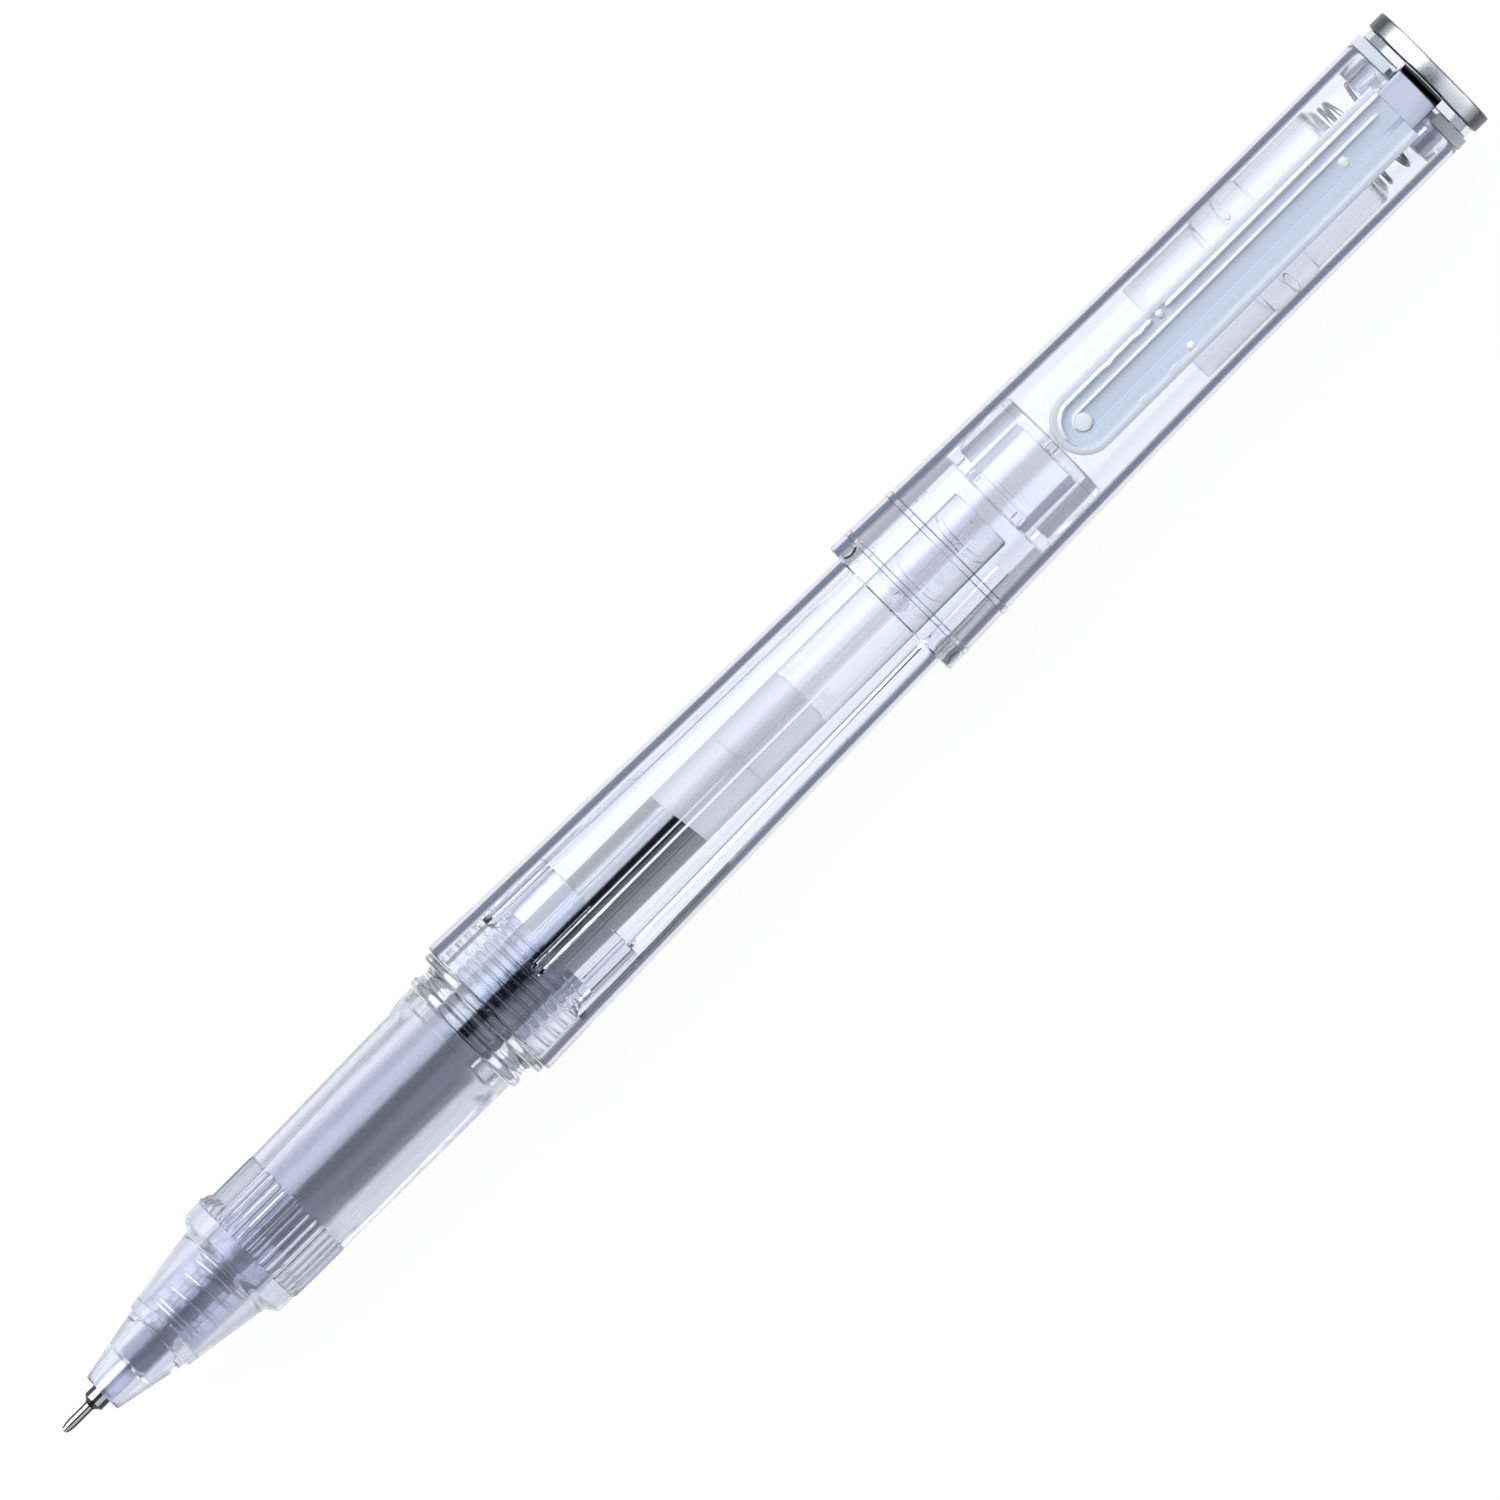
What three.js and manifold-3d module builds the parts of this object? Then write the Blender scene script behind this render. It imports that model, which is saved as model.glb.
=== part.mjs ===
// A clear capped gel-ink pen, lying on its side with the cap posted on its tail.
// Millimetres. +X runs from the writing tip to the crown, +Z is up and the clip faces up.
// "along" is a distance from the writing tip, and angles turn about the pen from +Z towards +Y.
// The origin is under the middle of the pen, on the surface it lies on.

import * as THREE from "three";
import { mergeVertices } from "three/addons/utils/BufferGeometryUtils.js";
import Module from "manifold-3d";

const wasm = await Module();
wasm.setup();

// ---- Driving dimensions ----

const PEN_LENGTH = 166.1; // tip to crown with the cap posted
const SIDES = 32; // sides of the large turned pieces
const SMALL_SIDES = 18; // sides of the turned pieces inside the grip
const GAP = 0.08; // between pieces that meet face to face

const BALL = { radius: 0.27 };

const NEEDLE = {
  front: 0.12,
  ogiveEnd: 1.07,
  shankEnd: 3.0,
  coneEnd: 3.45,
  end: 8.2,
  spigotEnd: 10.6,
  lipRadius: 0.3,
  shankRadius: 0.46,
  bodyRadius: 1.0,
  spigotRadius: 0.72,
  socketRadius: 0.31,
  lipBore: 0.25,
  channelRadius: 0.16,
};

const HOLDER = {
  front: NEEDLE.end + GAP,
  noseEnd: 8.6,
  step: 12.2,
  end: 24.0,
  noseRadius: 1.43,
  bodyRadius: 1.93,
  spigotRadius: 2.35,
  channelRadius: 0.55,
  valveFront: 14.6,
  valveBack: 18.0,
  valveRadius: 1.3,
  valveBallRadius: 0.95,
};

const TUBE = { start: 19.9, end: 111.1, radius: 3.1, bore: 2.45 };
const INK = { end: 74.4, radius: TUBE.bore - GAP };
const FOLLOWER = { end: 81.6 };
const FLOAT = { end: 89.3, radius: 2.2 };

const SPRING_STEPS = 14; // flats in each turn of a spring's wire
const FRONT_SPRING = {
  start: 13.0,
  closedEnd: 14.0,
  end: 19.6,
  closedTurns: 3,
  openTurns: 3.4,
  radius: 2.85,
  wire: 0.14,
};

const GRIP = {
  front: 4.64,
  frontRadius: 1.89,
  firstConeEnd: 11.5,
  firstConeRadius: 3.27,
  secondConeStart: 11.8,
  secondConeStartRadius: 3.57,
  secondConeEnd: 19.7,
  secondConeEndRadius: 4.76,
  collarStart: 20.4,
  collarRadius: 5.75,
  end: 48.0,
  endRadius: 5.95,
  tipBore: 1.15,
  holderBore: 1.62,
  stepBore: 2.12,
  springBore: 3.16,
  tubeBore: 3.5,
  socketBore: 4.55,
  socketStart: 41.0,
};

// The three flats of the grip: how far each lies from the axis along its length.
const FLATS = {
  angles: [80.2, -39.8, -159.8],
  runIn: 22.4,
  frontStart: 23.6,
  frontEnd: 28.0,
  frontDistance: 4.7,
  backEnd: 45.0,
  backDistance: 5.17,
  runOut: 46.4,
};

const THREAD = {
  lead: 1.05,
  turns: 4,
  start: 52.7,
  helixRadius: 4.85,
  ridge: 0.27,
  groove: 0.46,
  core: 4.7,
  boreRadius: 4.98,
  stepsPerTurn: 14,
  grooveBefore: 1.5, // turns of groove ahead of the ridge, for the travel of the screw
  grooveAfter: 0.4,
};

const CONNECTOR = {
  front: 41.3,
  spigotRadius: 4.42,
  beadStart: 48.1,
  beadEnd: 49.1,
  beadRadius: 6.37,
  neckRadius: 6.2,
  flangeStart: 50.6,
  flangeEnd: 51.27,
  flangeRadius: 6.95,
  end: 58.7,
  bore: 3.5,
};

const BARREL = {
  front: 51.35,
  frontRadius: 7.36,
  frontBore: 6.37,
  shoulder: 56.2,
  shoulderRadius: 7.19,
  middle: 84.8,
  middleRadius: 6.46,
  middleBore: 5.67,
  rear: 99.4,
  rearRadius: 6.17,
  rearBore: 5.36,
  end: 112.6,
  endRadius: 6.04,
  endBore: 5.12,
};
const RIBS = { count: 6, angle: -3.2, start: 56.5, end: 109.3, width: 0.64, height: 0.65, root: 0.25 };
const INSERT = {
  front: 51.45,
  end: 63.8,
  radius: 6.03,
  rearBore: 5.2,
  slotStart: 56.3,
  slotWidth: 1.2,
};

const PLUG = {
  spigotStart: 109.6,
  spigotRadius: 4.98,
  flangeStart: BARREL.end + GAP,
  flangeEnd: 113.8,
  flangeRadius: 6.0,
  frontRadius: 5.9,
  end: 120.1,
  endRadius: 5.7,
  bore: 4.0,
  wall: 1.05,
  ventRadius: 0.5,
};

const CAP = {
  front: 99.9,
  frontRadius: 7.33,
  frontBore: 6.41,
  bandEnd: 107.3,
  bandRadius: 7.12,
  bandBore: 6.36,
  waist: 113.6,
  waistRadius: 6.95,
  waistBore: 6.12,
  taperEnd: 137.5,
  taperRadius: 6.52,
  taperBore: 5.78,
  end: 162.2,
  endRadius: 6.5,
  endBore: 5.55,
};
const PIPS = { count: 4, centre: 101.3, length: 1.4, width: 2.2, depth: 0.15, root: 0.3 };

const INNER_CAP = {
  front: 133.4,
  end: 155.9,
  radius: 5.3,
  bore: 4.75,
  lipBore: 4.35,
  lipLength: 1.0,
  wall: 0.8,
  chamfer: 0.8,
  bandStart: 141.5,
  bandEnd: 146.7,
  bandRadius: 5.4,
};
const CAP_SPRING = {
  start: 156.3,
  closedEnd: 156.9,
  end: 161.9,
  closedTurns: 1,
  openTurns: 2,
  radius: 4.385,
  wire: 0.215,
};

const CROWN = {
  bossStart: 160.2,
  bossRadius: 3.3,
  spigotStart: 159.7,
  spigotRadius: 5.4,
  spigotBore: 4.85,
  seat: 162.28,
  hubRadius: 5.2,
  ringRadius: 6.5,
  ringBore: 5.3,
  ringEnd: 163.38,
  ringGap: 5.75,
  neckStart: 163.46,
  neckEnd: 164.36,
  neckRadius: 6.17,
  pinRadius: 3.0,
  pinEnd: 165.3,
  discStart: 164.44,
  discRadius: 6.46,
  discRound: 0.35,
};

const CLIP = {
  freeEnd: 120.2,
  rootEnd: 160.7,
  width: 5.92,
  bottom: 7.45,
  top: 9.0,
  trough: 8.7,
  troughInset: 0.65,
  groove: 8.52,
  grooveWidth: 2.0,
  grooveStart: 123.0,
  grooveEnd: 159.7,
  pocketCeiling: 8.28,
  pocketGap: 0.15,
  ballAlong: 123.0,
  ballRadius: 0.9,
  ballBottom: 6.86,
};
const STRIP = {
  start: 124.2,
  end: 164.3,
  width: 4.43,
  bottom: 7.72,
  top: 8.2,
  bendStart: 160.7,
  bendEnd: 161.5,
  plateTop: 8.5,
  corner: 0.25,
  legBottom: 5.4,
  legFront: 163.7,
};
const ANCHOR = { front: 162.5, width: 4.3, bottom: 4.35, top: 4.95 };

// ---- Tools ----

// A closed geometry as a manifold-3d solid.
function solid(geometry) {
  const triangles = geometry.index ? geometry.toNonIndexed() : geometry;
  const bare = new THREE.BufferGeometry().setAttribute("position", triangles.getAttribute("position"));
  const merged = mergeVertices(bare);
  return new wasm.Manifold(
    new wasm.Mesh({
      numProp: 3,
      vertProperties: merged.attributes.position.array,
      triVerts: new Uint32Array(merged.index.array),
    }),
  );
}

// A manifold-3d solid as a geometry.
function geometryOf(shape) {
  const mesh = shape.getMesh();
  return new THREE.BufferGeometry()
    .setAttribute("position", new THREE.BufferAttribute(mesh.vertProperties, 3))
    .setIndex(new THREE.BufferAttribute(mesh.triVerts, 1));
}

// Turns an outline of [along, radius] points round the pen's axis. The outline starts and ends on the
// axis, or its first point is its last.
function turned(outline, sides = SIDES) {
  const points = outline.map(([along, radius]) => new THREE.Vector2(radius, along));
  return new THREE.LatheGeometry(points, sides, Math.PI / sides).rotateZ(-Math.PI / 2);
}

// A turned piece with a hole through it: the outer outline, then the bore from back to front.
function turnedRing(outer, bore, sides = SIDES) {
  return turned([...outer, ...bore, outer[0]], sides);
}

// Turns a geometry about the pen's axis, by degrees from +Z towards +Y.
function aboutAxis(geometry, degrees) {
  return geometry.rotateX(-THREE.MathUtils.degToRad(degrees));
}

// A plate whose outline is given as [along, height] points, centred on the plane Y = 0.
function plate(outline, width) {
  const shape = new THREE.Shape(outline.map(([along, height]) => new THREE.Vector2(along, height)));
  return new THREE.ExtrudeGeometry(shape, { depth: width, bevelEnabled: false })
    .rotateX(Math.PI / 2)
    .translate(0, width / 2, 0);
}

// A box between two values of along and two of height, centred on the plane Y = 0.
function block(alongLow, alongHigh, width, low, high) {
  return new THREE.BoxGeometry(alongHigh - alongLow, width, high - low).translate(
    (alongLow + alongHigh) / 2,
    0,
    (low + high) / 2,
  );
}

const END_STEPS = 10; // steps round each end of a round-ended bar

// A flat bar with round ends, seen from above, between two heights.
function roundEndedBar(alongLow, alongHigh, width, low, high) {
  const half = width / 2;
  const shape = new THREE.Shape();
  shape.absarc(alongLow + half, 0, half, Math.PI / 2, (3 * Math.PI) / 2);
  shape.absarc(alongHigh - half, 0, half, -Math.PI / 2, Math.PI / 2);
  const options = { depth: high - low, bevelEnabled: false, curveSegments: END_STEPS };
  return new THREE.ExtrudeGeometry(shape, options).translate(0, 0, low);
}

// A right-handed helix about the pen's axis through [turn, along] stations.
class Helix extends THREE.Curve {
  constructor(radius, stations) {
    super();
    this.radius = radius;
    this.stations = stations;
  }

  alongAt(turn) {
    const next = Math.max(1, this.stations.findIndex(([end]) => turn <= end));
    const [turnA, alongA] = this.stations[next - 1];
    const [turnB, alongB] = this.stations[next];
    return alongA + ((alongB - alongA) * (turn - turnA)) / (turnB - turnA);
  }

  getPoint(share, target = new THREE.Vector3()) {
    const first = this.stations[0][0];
    const last = this.stations.at(-1)[0];
    const turn = THREE.MathUtils.lerp(first, last, share);
    const angle = -2 * Math.PI * turn;
    return target.set(this.alongAt(turn), this.radius * Math.sin(angle), this.radius * Math.cos(angle));
  }
}

// Round wire of the given radius along a helix.
function wire(helix, radius, stepsPerTurn, sides = 6) {
  const turns = helix.stations.at(-1)[0] - helix.stations[0][0];
  const corners = Array.from({ length: sides }, (_, i) => {
    const angle = (2 * Math.PI * i) / sides;
    return new THREE.Vector2(radius * Math.cos(angle), radius * Math.sin(angle));
  });
  return new THREE.ExtrudeGeometry(new THREE.Shape(corners), {
    steps: Math.round(turns * stepsPerTurn),
    extrudePath: helix,
    bevelEnabled: false,
  });
}

// A coil spring: closed turns at its front end, then open ones.
function coilSpring({ start, closedEnd, end, closedTurns, openTurns, radius, wire: wireRadius }) {
  const stations = [
    [0, start],
    [closedTurns, closedEnd],
    [closedTurns + openTurns, end],
  ];
  return wire(new Helix(radius, stations), wireRadius, SPRING_STEPS);
}

// ---- Refill ----

function writingBall() {
  return new THREE.SphereGeometry(BALL.radius, 12, 8).translate(BALL.radius, 0, 0);
}

function needleTip() {
  const n = NEEDLE;
  const outer = [
    [n.front, n.lipRadius],
    [(n.front + n.ogiveEnd) / 2, (n.lipRadius + 2 * n.shankRadius) / 3],
    [n.ogiveEnd, n.shankRadius],
    [n.shankEnd, n.shankRadius],
    [n.coneEnd, n.bodyRadius],
    [n.end, n.bodyRadius],
    [n.end, n.spigotRadius],
    [n.spigotEnd, n.spigotRadius],
  ];
  const socketEnd = n.front + 2 * BALL.radius;
  const bore = [
    [n.spigotEnd, n.shankRadius],
    [n.coneEnd, n.shankRadius],
    [n.shankEnd, n.channelRadius],
    [socketEnd, n.channelRadius],
    [socketEnd, n.socketRadius],
    [BALL.radius, n.socketRadius],
    [n.front, n.lipBore],
  ];
  return turnedRing(outer, bore, SMALL_SIDES);
}

function tipHolder() {
  const h = HOLDER;
  const outer = [
    [h.front, NEEDLE.bodyRadius],
    [h.noseEnd, h.noseRadius],
    [h.step, h.noseRadius],
    [h.step, h.bodyRadius],
    [TUBE.start - GAP, h.bodyRadius],
    [TUBE.start - GAP, h.spigotRadius],
    [h.end, h.spigotRadius],
  ];
  const bore = [
    [h.end, h.channelRadius],
    [h.valveBack, h.channelRadius],
    [h.valveBack, h.valveRadius],
    [h.valveFront, h.valveRadius],
    [h.valveFront, h.channelRadius],
    [NEEDLE.spigotEnd + GAP, h.channelRadius],
    [NEEDLE.spigotEnd + GAP, NEEDLE.spigotRadius + GAP],
    [h.front, NEEDLE.spigotRadius + GAP],
  ];
  return turnedRing(outer, bore, SMALL_SIDES);
}

function valveBall() {
  const centre = HOLDER.valveBack - HOLDER.valveBallRadius - GAP;
  return new THREE.SphereGeometry(HOLDER.valveBallRadius, 14, 10).translate(centre, 0, 0);
}

function inkTube() {
  const t = TUBE;
  const outer = [
    [t.start, t.radius],
    [t.end, t.radius],
  ];
  const bore = [
    [t.end, t.bore],
    [t.start, t.bore],
  ];
  return turnedRing(outer, bore);
}

// A solid column inside the ink tube.
function column(start, end, radius) {
  return turned([
    [start, 0],
    [start, radius],
    [end, radius],
    [end, 0],
  ]);
}

// ---- Writing section ----

function gripSection() {
  const g = GRIP;
  const outer = [
    [g.front, g.frontRadius],
    [g.firstConeEnd, g.firstConeRadius],
    [g.secondConeStart, g.secondConeStartRadius],
    [g.secondConeEnd, g.secondConeEndRadius],
    [g.collarStart, g.collarRadius],
    [g.end, g.endRadius],
  ];
  const springSeat = FRONT_SPRING.start - 2 * FRONT_SPRING.wire;
  const bore = [
    [g.end, g.socketBore],
    [g.socketStart, g.socketBore],
    [g.socketStart, g.tubeBore],
    [g.collarStart, g.tubeBore],
    [g.collarStart, g.springBore],
    [springSeat, g.springBore],
    [springSeat, g.stepBore],
    [g.secondConeStart, g.stepBore],
    [g.secondConeStart, g.holderBore],
    [NEEDLE.end, g.holderBore],
    [NEEDLE.end, g.tipBore],
    [g.front, g.tipBore],
  ];
  let body = solid(turnedRing(outer, bore));
  FLATS.angles.forEach((angle) => {
    body = body.subtract(solid(aboutAxis(gripFlat(), angle)));
  });
  return geometryOf(body);
}

// What one flat of the grip takes away.
function gripFlat() {
  const f = FLATS;
  const outside = 2 * GRIP.endRadius;
  const outline = [
    [f.runIn, GRIP.endRadius],
    [f.frontStart, f.frontDistance],
    [f.frontEnd, f.frontDistance],
    [f.backEnd, f.backDistance],
    [f.runOut, GRIP.endRadius],
    [f.runOut, outside],
    [f.runIn, outside],
  ];
  return plate(outline, 2 * GRIP.endRadius);
}

// The helix that the connector's ridge and the insert's groove share, from one turn to another.
function threadHelix(firstTurn, lastTurn) {
  const alongAt = (turn) => THREAD.start + turn * THREAD.lead;
  return new Helix(THREAD.helixRadius, [
    [firstTurn, alongAt(firstTurn)],
    [lastTurn, alongAt(lastTurn)],
  ]);
}

function sectionConnector() {
  const c = CONNECTOR;
  const outer = [
    [c.front, c.spigotRadius],
    [c.beadStart, c.spigotRadius],
    [c.beadStart, c.beadRadius],
    [c.beadEnd, c.beadRadius],
    [c.beadEnd, c.neckRadius],
    [c.flangeStart, c.neckRadius],
    [c.flangeStart, c.flangeRadius],
    [c.flangeEnd, c.flangeRadius],
    [c.flangeEnd, THREAD.core],
    [c.end, THREAD.core],
  ];
  const bore = [
    [c.end, c.bore],
    [c.front, c.bore],
  ];
  const ridge = wire(threadHelix(0, THREAD.turns), THREAD.ridge, THREAD.stepsPerTurn);
  return geometryOf(solid(turnedRing(outer, bore)).add(solid(ridge)));
}

// ---- Barrel ----

function barrel() {
  const b = BARREL;
  const outer = [
    [b.front, b.frontRadius],
    [b.shoulder, b.shoulderRadius],
    [b.middle, b.middleRadius],
    [b.rear, b.rearRadius],
    [b.end, b.endRadius],
  ];
  const bore = [
    [b.end, b.endBore],
    [b.rear, b.rearBore],
    [b.middle, b.middleBore],
    [b.shoulder, b.frontBore],
    [b.front, b.frontBore],
  ];
  let body = solid(turnedRing(outer, bore));
  for (let i = 0; i < RIBS.count; i++) {
    const angle = RIBS.angle + (360 * i) / RIBS.count;
    body = body.add(solid(aboutAxis(barrelRib(), angle)));
  }
  return geometryOf(body);
}

// The bore's radius at a place along the barrel, behind its shoulder.
function barrelBoreAt(along) {
  const b = BARREL;
  const stations = [
    [b.shoulder, b.frontBore],
    [b.middle, b.middleBore],
    [b.rear, b.rearBore],
    [b.end, b.endBore],
  ];
  const next = stations.findIndex(([end]) => along <= end);
  const [low, high] = [stations[Math.max(next, 1) - 1], stations[Math.max(next, 1)]];
  return THREE.MathUtils.mapLinear(along, low[0], high[0], low[1], high[1]);
}

// One rib, which follows the bore's taper with its root in the wall.
function barrelRib() {
  const stations = [RIBS.start, BARREL.middle, BARREL.rear, RIBS.end];
  const roots = stations.map((along) => [along, barrelBoreAt(along) + RIBS.root]);
  const edges = stations.map((along) => [along, barrelBoreAt(along) - RIBS.height]);
  return plate([...edges, ...roots.reverse()], RIBS.width);
}

function barrelInsert() {
  const s = INSERT;
  const outer = [
    [s.front, s.radius],
    [s.end, s.radius],
  ];
  const bore = [
    [s.end, s.rearBore],
    [CONNECTOR.end, s.rearBore],
    [CONNECTOR.end, THREAD.boreRadius],
    [s.front, THREAD.boreRadius],
  ];
  const path = threadHelix(-THREAD.grooveBefore, THREAD.turns + THREAD.grooveAfter);
  const groove = wire(path, THREAD.groove, THREAD.stepsPerTurn);
  let body = solid(turnedRing(outer, bore)).subtract(solid(groove));
  const beyond = s.end + s.slotWidth;
  for (let i = 0; i < RIBS.count; i++) {
    const slot = roundEndedBar(s.slotStart, beyond, s.slotWidth, THREAD.core, BARREL.frontBore);
    body = body.subtract(solid(aboutAxis(slot, RIBS.angle + (360 * i) / RIBS.count)));
  }
  return geometryOf(body);
}

function tailPlug() {
  const p = PLUG;
  const outer = [
    [p.spigotStart, p.spigotRadius],
    [p.flangeStart, p.spigotRadius],
    [p.flangeStart, p.flangeRadius],
    [p.flangeEnd, p.flangeRadius],
    [p.flangeEnd, p.frontRadius],
    [p.end, p.endRadius],
  ];
  const bore = [
    [p.end, p.ventRadius],
    [p.end - p.wall, p.ventRadius],
    [p.end - p.wall, p.bore],
    [p.spigotStart, p.bore],
  ];
  return turnedRing(outer, bore);
}

// ---- Cap ----

function capTube() {
  const c = CAP;
  const outer = [
    [c.front, c.frontRadius],
    [c.bandEnd, c.bandRadius],
    [c.waist, c.waistRadius],
    [c.taperEnd, c.taperRadius],
    [c.end, c.endRadius],
  ];
  const bore = [
    [c.end, c.endBore],
    [c.taperEnd, c.taperBore],
    [c.waist, c.waistBore],
    [c.bandEnd, c.bandBore],
    [c.front, c.frontBore],
  ];
  let body = solid(turnedRing(outer, bore));
  for (let i = 0; i < PIPS.count; i++) {
    body = body.add(solid(aboutAxis(snapPip(), (360 * i) / PIPS.count)));
  }
  return geometryOf(body);
}

// One of the pips inside the cap's mouth that snap behind the bead of the section.
function snapPip() {
  const half = PIPS.length / 2;
  const low = CAP.frontBore - PIPS.depth;
  return block(PIPS.centre - half, PIPS.centre + half, PIPS.width, low, CAP.frontBore + PIPS.root);
}

function innerCap() {
  const c = INNER_CAP;
  const outer = [
    [c.front, c.radius],
    [c.bandStart, c.radius],
    [c.bandStart, c.bandRadius],
    [c.bandEnd, c.bandRadius],
    [c.bandEnd, c.radius],
    [c.end - c.chamfer, c.radius],
    [c.end, c.radius - c.chamfer],
    [c.end, 0],
  ];
  const bore = [
    [c.end - c.wall, 0],
    [c.end - c.wall, c.bore],
    [c.front + c.lipLength, c.bore],
    [c.front + c.lipLength, c.lipBore],
    [c.front, c.lipBore],
  ];
  return turned([...bore, ...outer]);
}

function crownNeck() {
  const c = CROWN;
  const outline = [
    [c.bossStart, 0],
    [c.bossStart, c.bossRadius],
    [c.seat, c.bossRadius],
    [c.seat, c.spigotBore],
    [c.spigotStart, c.spigotBore],
    [c.spigotStart, c.spigotRadius],
    [CAP.end - GAP, c.spigotRadius],
    [CAP.end - GAP, c.hubRadius],
    [c.neckStart, c.hubRadius],
    [c.neckStart, c.neckRadius],
    [c.neckEnd, c.neckRadius],
    [c.neckEnd, c.pinRadius],
    [c.pinEnd, c.pinRadius],
    [c.pinEnd, 0],
  ];
  const slotWidth = STRIP.width + 4 * GAP;
  const slot = block(ANCHOR.front - GAP, c.discStart, slotWidth, ANCHOR.bottom - GAP, c.discRadius);
  return geometryOf(solid(turned(outline)).subtract(solid(slot)));
}

function crownRing() {
  const c = CROWN;
  const outer = [
    [CAP.end + GAP, c.ringRadius],
    [c.ringEnd, c.ringRadius],
  ];
  const bore = [
    [c.ringEnd, c.ringBore],
    [CAP.end + GAP, c.ringBore],
  ];
  const opening = block(CAP.end, c.neckStart, c.ringGap, 0, 2 * c.ringRadius);
  return geometryOf(solid(turnedRing(outer, bore)).subtract(solid(opening)));
}

function crownDisc() {
  const c = CROWN;
  const recess = c.pinRadius + GAP;
  return turned([
    [c.pinEnd + GAP, 0],
    [c.pinEnd + GAP, recess],
    [c.discStart, recess],
    [c.discStart, c.discRadius - c.discRound / 2],
    [c.discStart + c.discRound / 2, c.discRadius],
    [PEN_LENGTH - c.discRound, c.discRadius],
    [PEN_LENGTH, c.discRadius - c.discRound],
    [PEN_LENGTH, 0],
  ]);
}

// ---- Clip ----

// The plastic arm: a shallow trough with a groove on top, a pocket for the strip below and a ball
// under its free end.
function clipArm() {
  const c = CLIP;
  const inset = c.troughInset;
  const pastRoot = c.rootEnd + c.width;
  const rootCut = block(c.rootEnd, pastRoot + c.width, 2 * c.width, 0, 2 * c.top);
  const pocketWidth = STRIP.width + 2 * c.pocketGap;
  const pocket = block(STRIP.start - c.pocketGap, pastRoot, pocketWidth, 0, c.pocketCeiling);
  const trough = roundEndedBar(c.freeEnd + inset, pastRoot, c.width - 2 * inset, c.trough, 2 * c.top);
  const groove = roundEndedBar(c.grooveStart, c.grooveEnd, c.grooveWidth, c.groove, 2 * c.top);
  const ballCentre = c.ballBottom + c.ballRadius;
  const ball = new THREE.SphereGeometry(c.ballRadius, 16, 12).translate(c.ballAlong, 0, ballCentre);
  const bar = roundEndedBar(c.freeEnd, pastRoot, c.width, c.bottom, c.top);
  return geometryOf(
    solid(bar)
      .subtract(solid(rootCut))
      .subtract(solid(pocket))
      .subtract(solid(trough))
      .subtract(solid(groove))
      .add(solid(ball)),
  );
}

// The metal strip inside the arm, which rises to the bright root plate and bends down into the crown.
function clipStrip() {
  const s = STRIP;
  const thickness = s.top - s.bottom;
  return plate(
    [
      [s.start, s.bottom],
      [s.bendStart, s.bottom],
      [s.bendEnd, s.plateTop - thickness],
      [s.legFront, s.plateTop - thickness],
      [s.legFront, s.legBottom],
      [s.end, s.legBottom],
      [s.end, s.plateTop - s.corner],
      [s.end - s.corner, s.plateTop],
      [s.bendEnd, s.plateTop],
      [s.bendStart, s.top],
      [s.start, s.top],
    ],
    s.width,
  );
}

function clipAnchor() {
  return block(ANCHOR.front, STRIP.end, ANCHOR.width, ANCHOR.bottom, ANCHOR.top);
}

// ---- Materials ----

const clearPlastic = { color: 0xf2f4fa, roughness: 0.05, transparent: true, opacity: 0.35 };
const frostedPlastic = { color: 0xdde0ee, roughness: 0.45, transparent: true, opacity: 0.75 };
const whitePlastic = { color: 0xf4f4f6, roughness: 0.5, metalness: 0 };
const arm = { color: 0xb9c4dc, roughness: 0.35, metalness: 0 };
const steel = { color: 0xc8ccd2, roughness: 0.25, metalness: 1 };
const chrome = { color: 0xe6e6ee, roughness: 0.08, metalness: 1 };
const satinMetal = { color: 0xb4b6ba, roughness: 0.35, metalness: 1 };
const carbide = { color: 0x8c8e92, roughness: 0.2, metalness: 1 };
const ink = { color: 0x0c0d12, roughness: 0.2, metalness: 0 };
const grease = { color: 0xd9d2bf, roughness: 0.4, metalness: 0 };
const greyPlastic = { color: 0xa9adb6, roughness: 0.5, metalness: 0 };

// ---- The pen ----

const pieces = [
  ["writing_ball", writingBall(), carbide],
  ["needle_tip", needleTip(), steel],
  ["tip_holder", tipHolder(), frostedPlastic],
  ["valve_ball", valveBall(), steel],
  ["ink_tube", inkTube(), clearPlastic],
  ["ink_column", column(HOLDER.end + GAP, INK.end, INK.radius), ink],
  ["ink_follower", column(INK.end + GAP, FOLLOWER.end, INK.radius), grease],
  ["follower_float", column(FOLLOWER.end + GAP, FLOAT.end, FLOAT.radius), greyPlastic],
  ["front_spring", coilSpring(FRONT_SPRING), steel],
  ["grip_section", gripSection(), frostedPlastic],
  ["section_connector", sectionConnector(), clearPlastic],
  ["barrel", barrel(), clearPlastic],
  ["barrel_insert", barrelInsert(), clearPlastic],
  ["tail_plug", tailPlug(), clearPlastic],
  ["cap_tube", capTube(), clearPlastic],
  ["inner_cap", innerCap(), frostedPlastic],
  ["cap_spring", coilSpring(CAP_SPRING), steel],
  ["crown_neck", crownNeck(), clearPlastic],
  ["crown_ring", crownRing(), whitePlastic],
  ["crown_disc", crownDisc(), satinMetal],
  ["clip_arm", clipArm(), arm],
  ["clip_strip", clipStrip(), chrome],
  ["clip_anchor", clipAnchor(), chrome],
];

const pen = new THREE.Group();
pieces.forEach(([name, geometry, finish]) => {
  const mesh = new THREE.Mesh(geometry, new THREE.MeshStandardMaterial(finish));
  mesh.name = name;
  pen.add(mesh);
});

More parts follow.
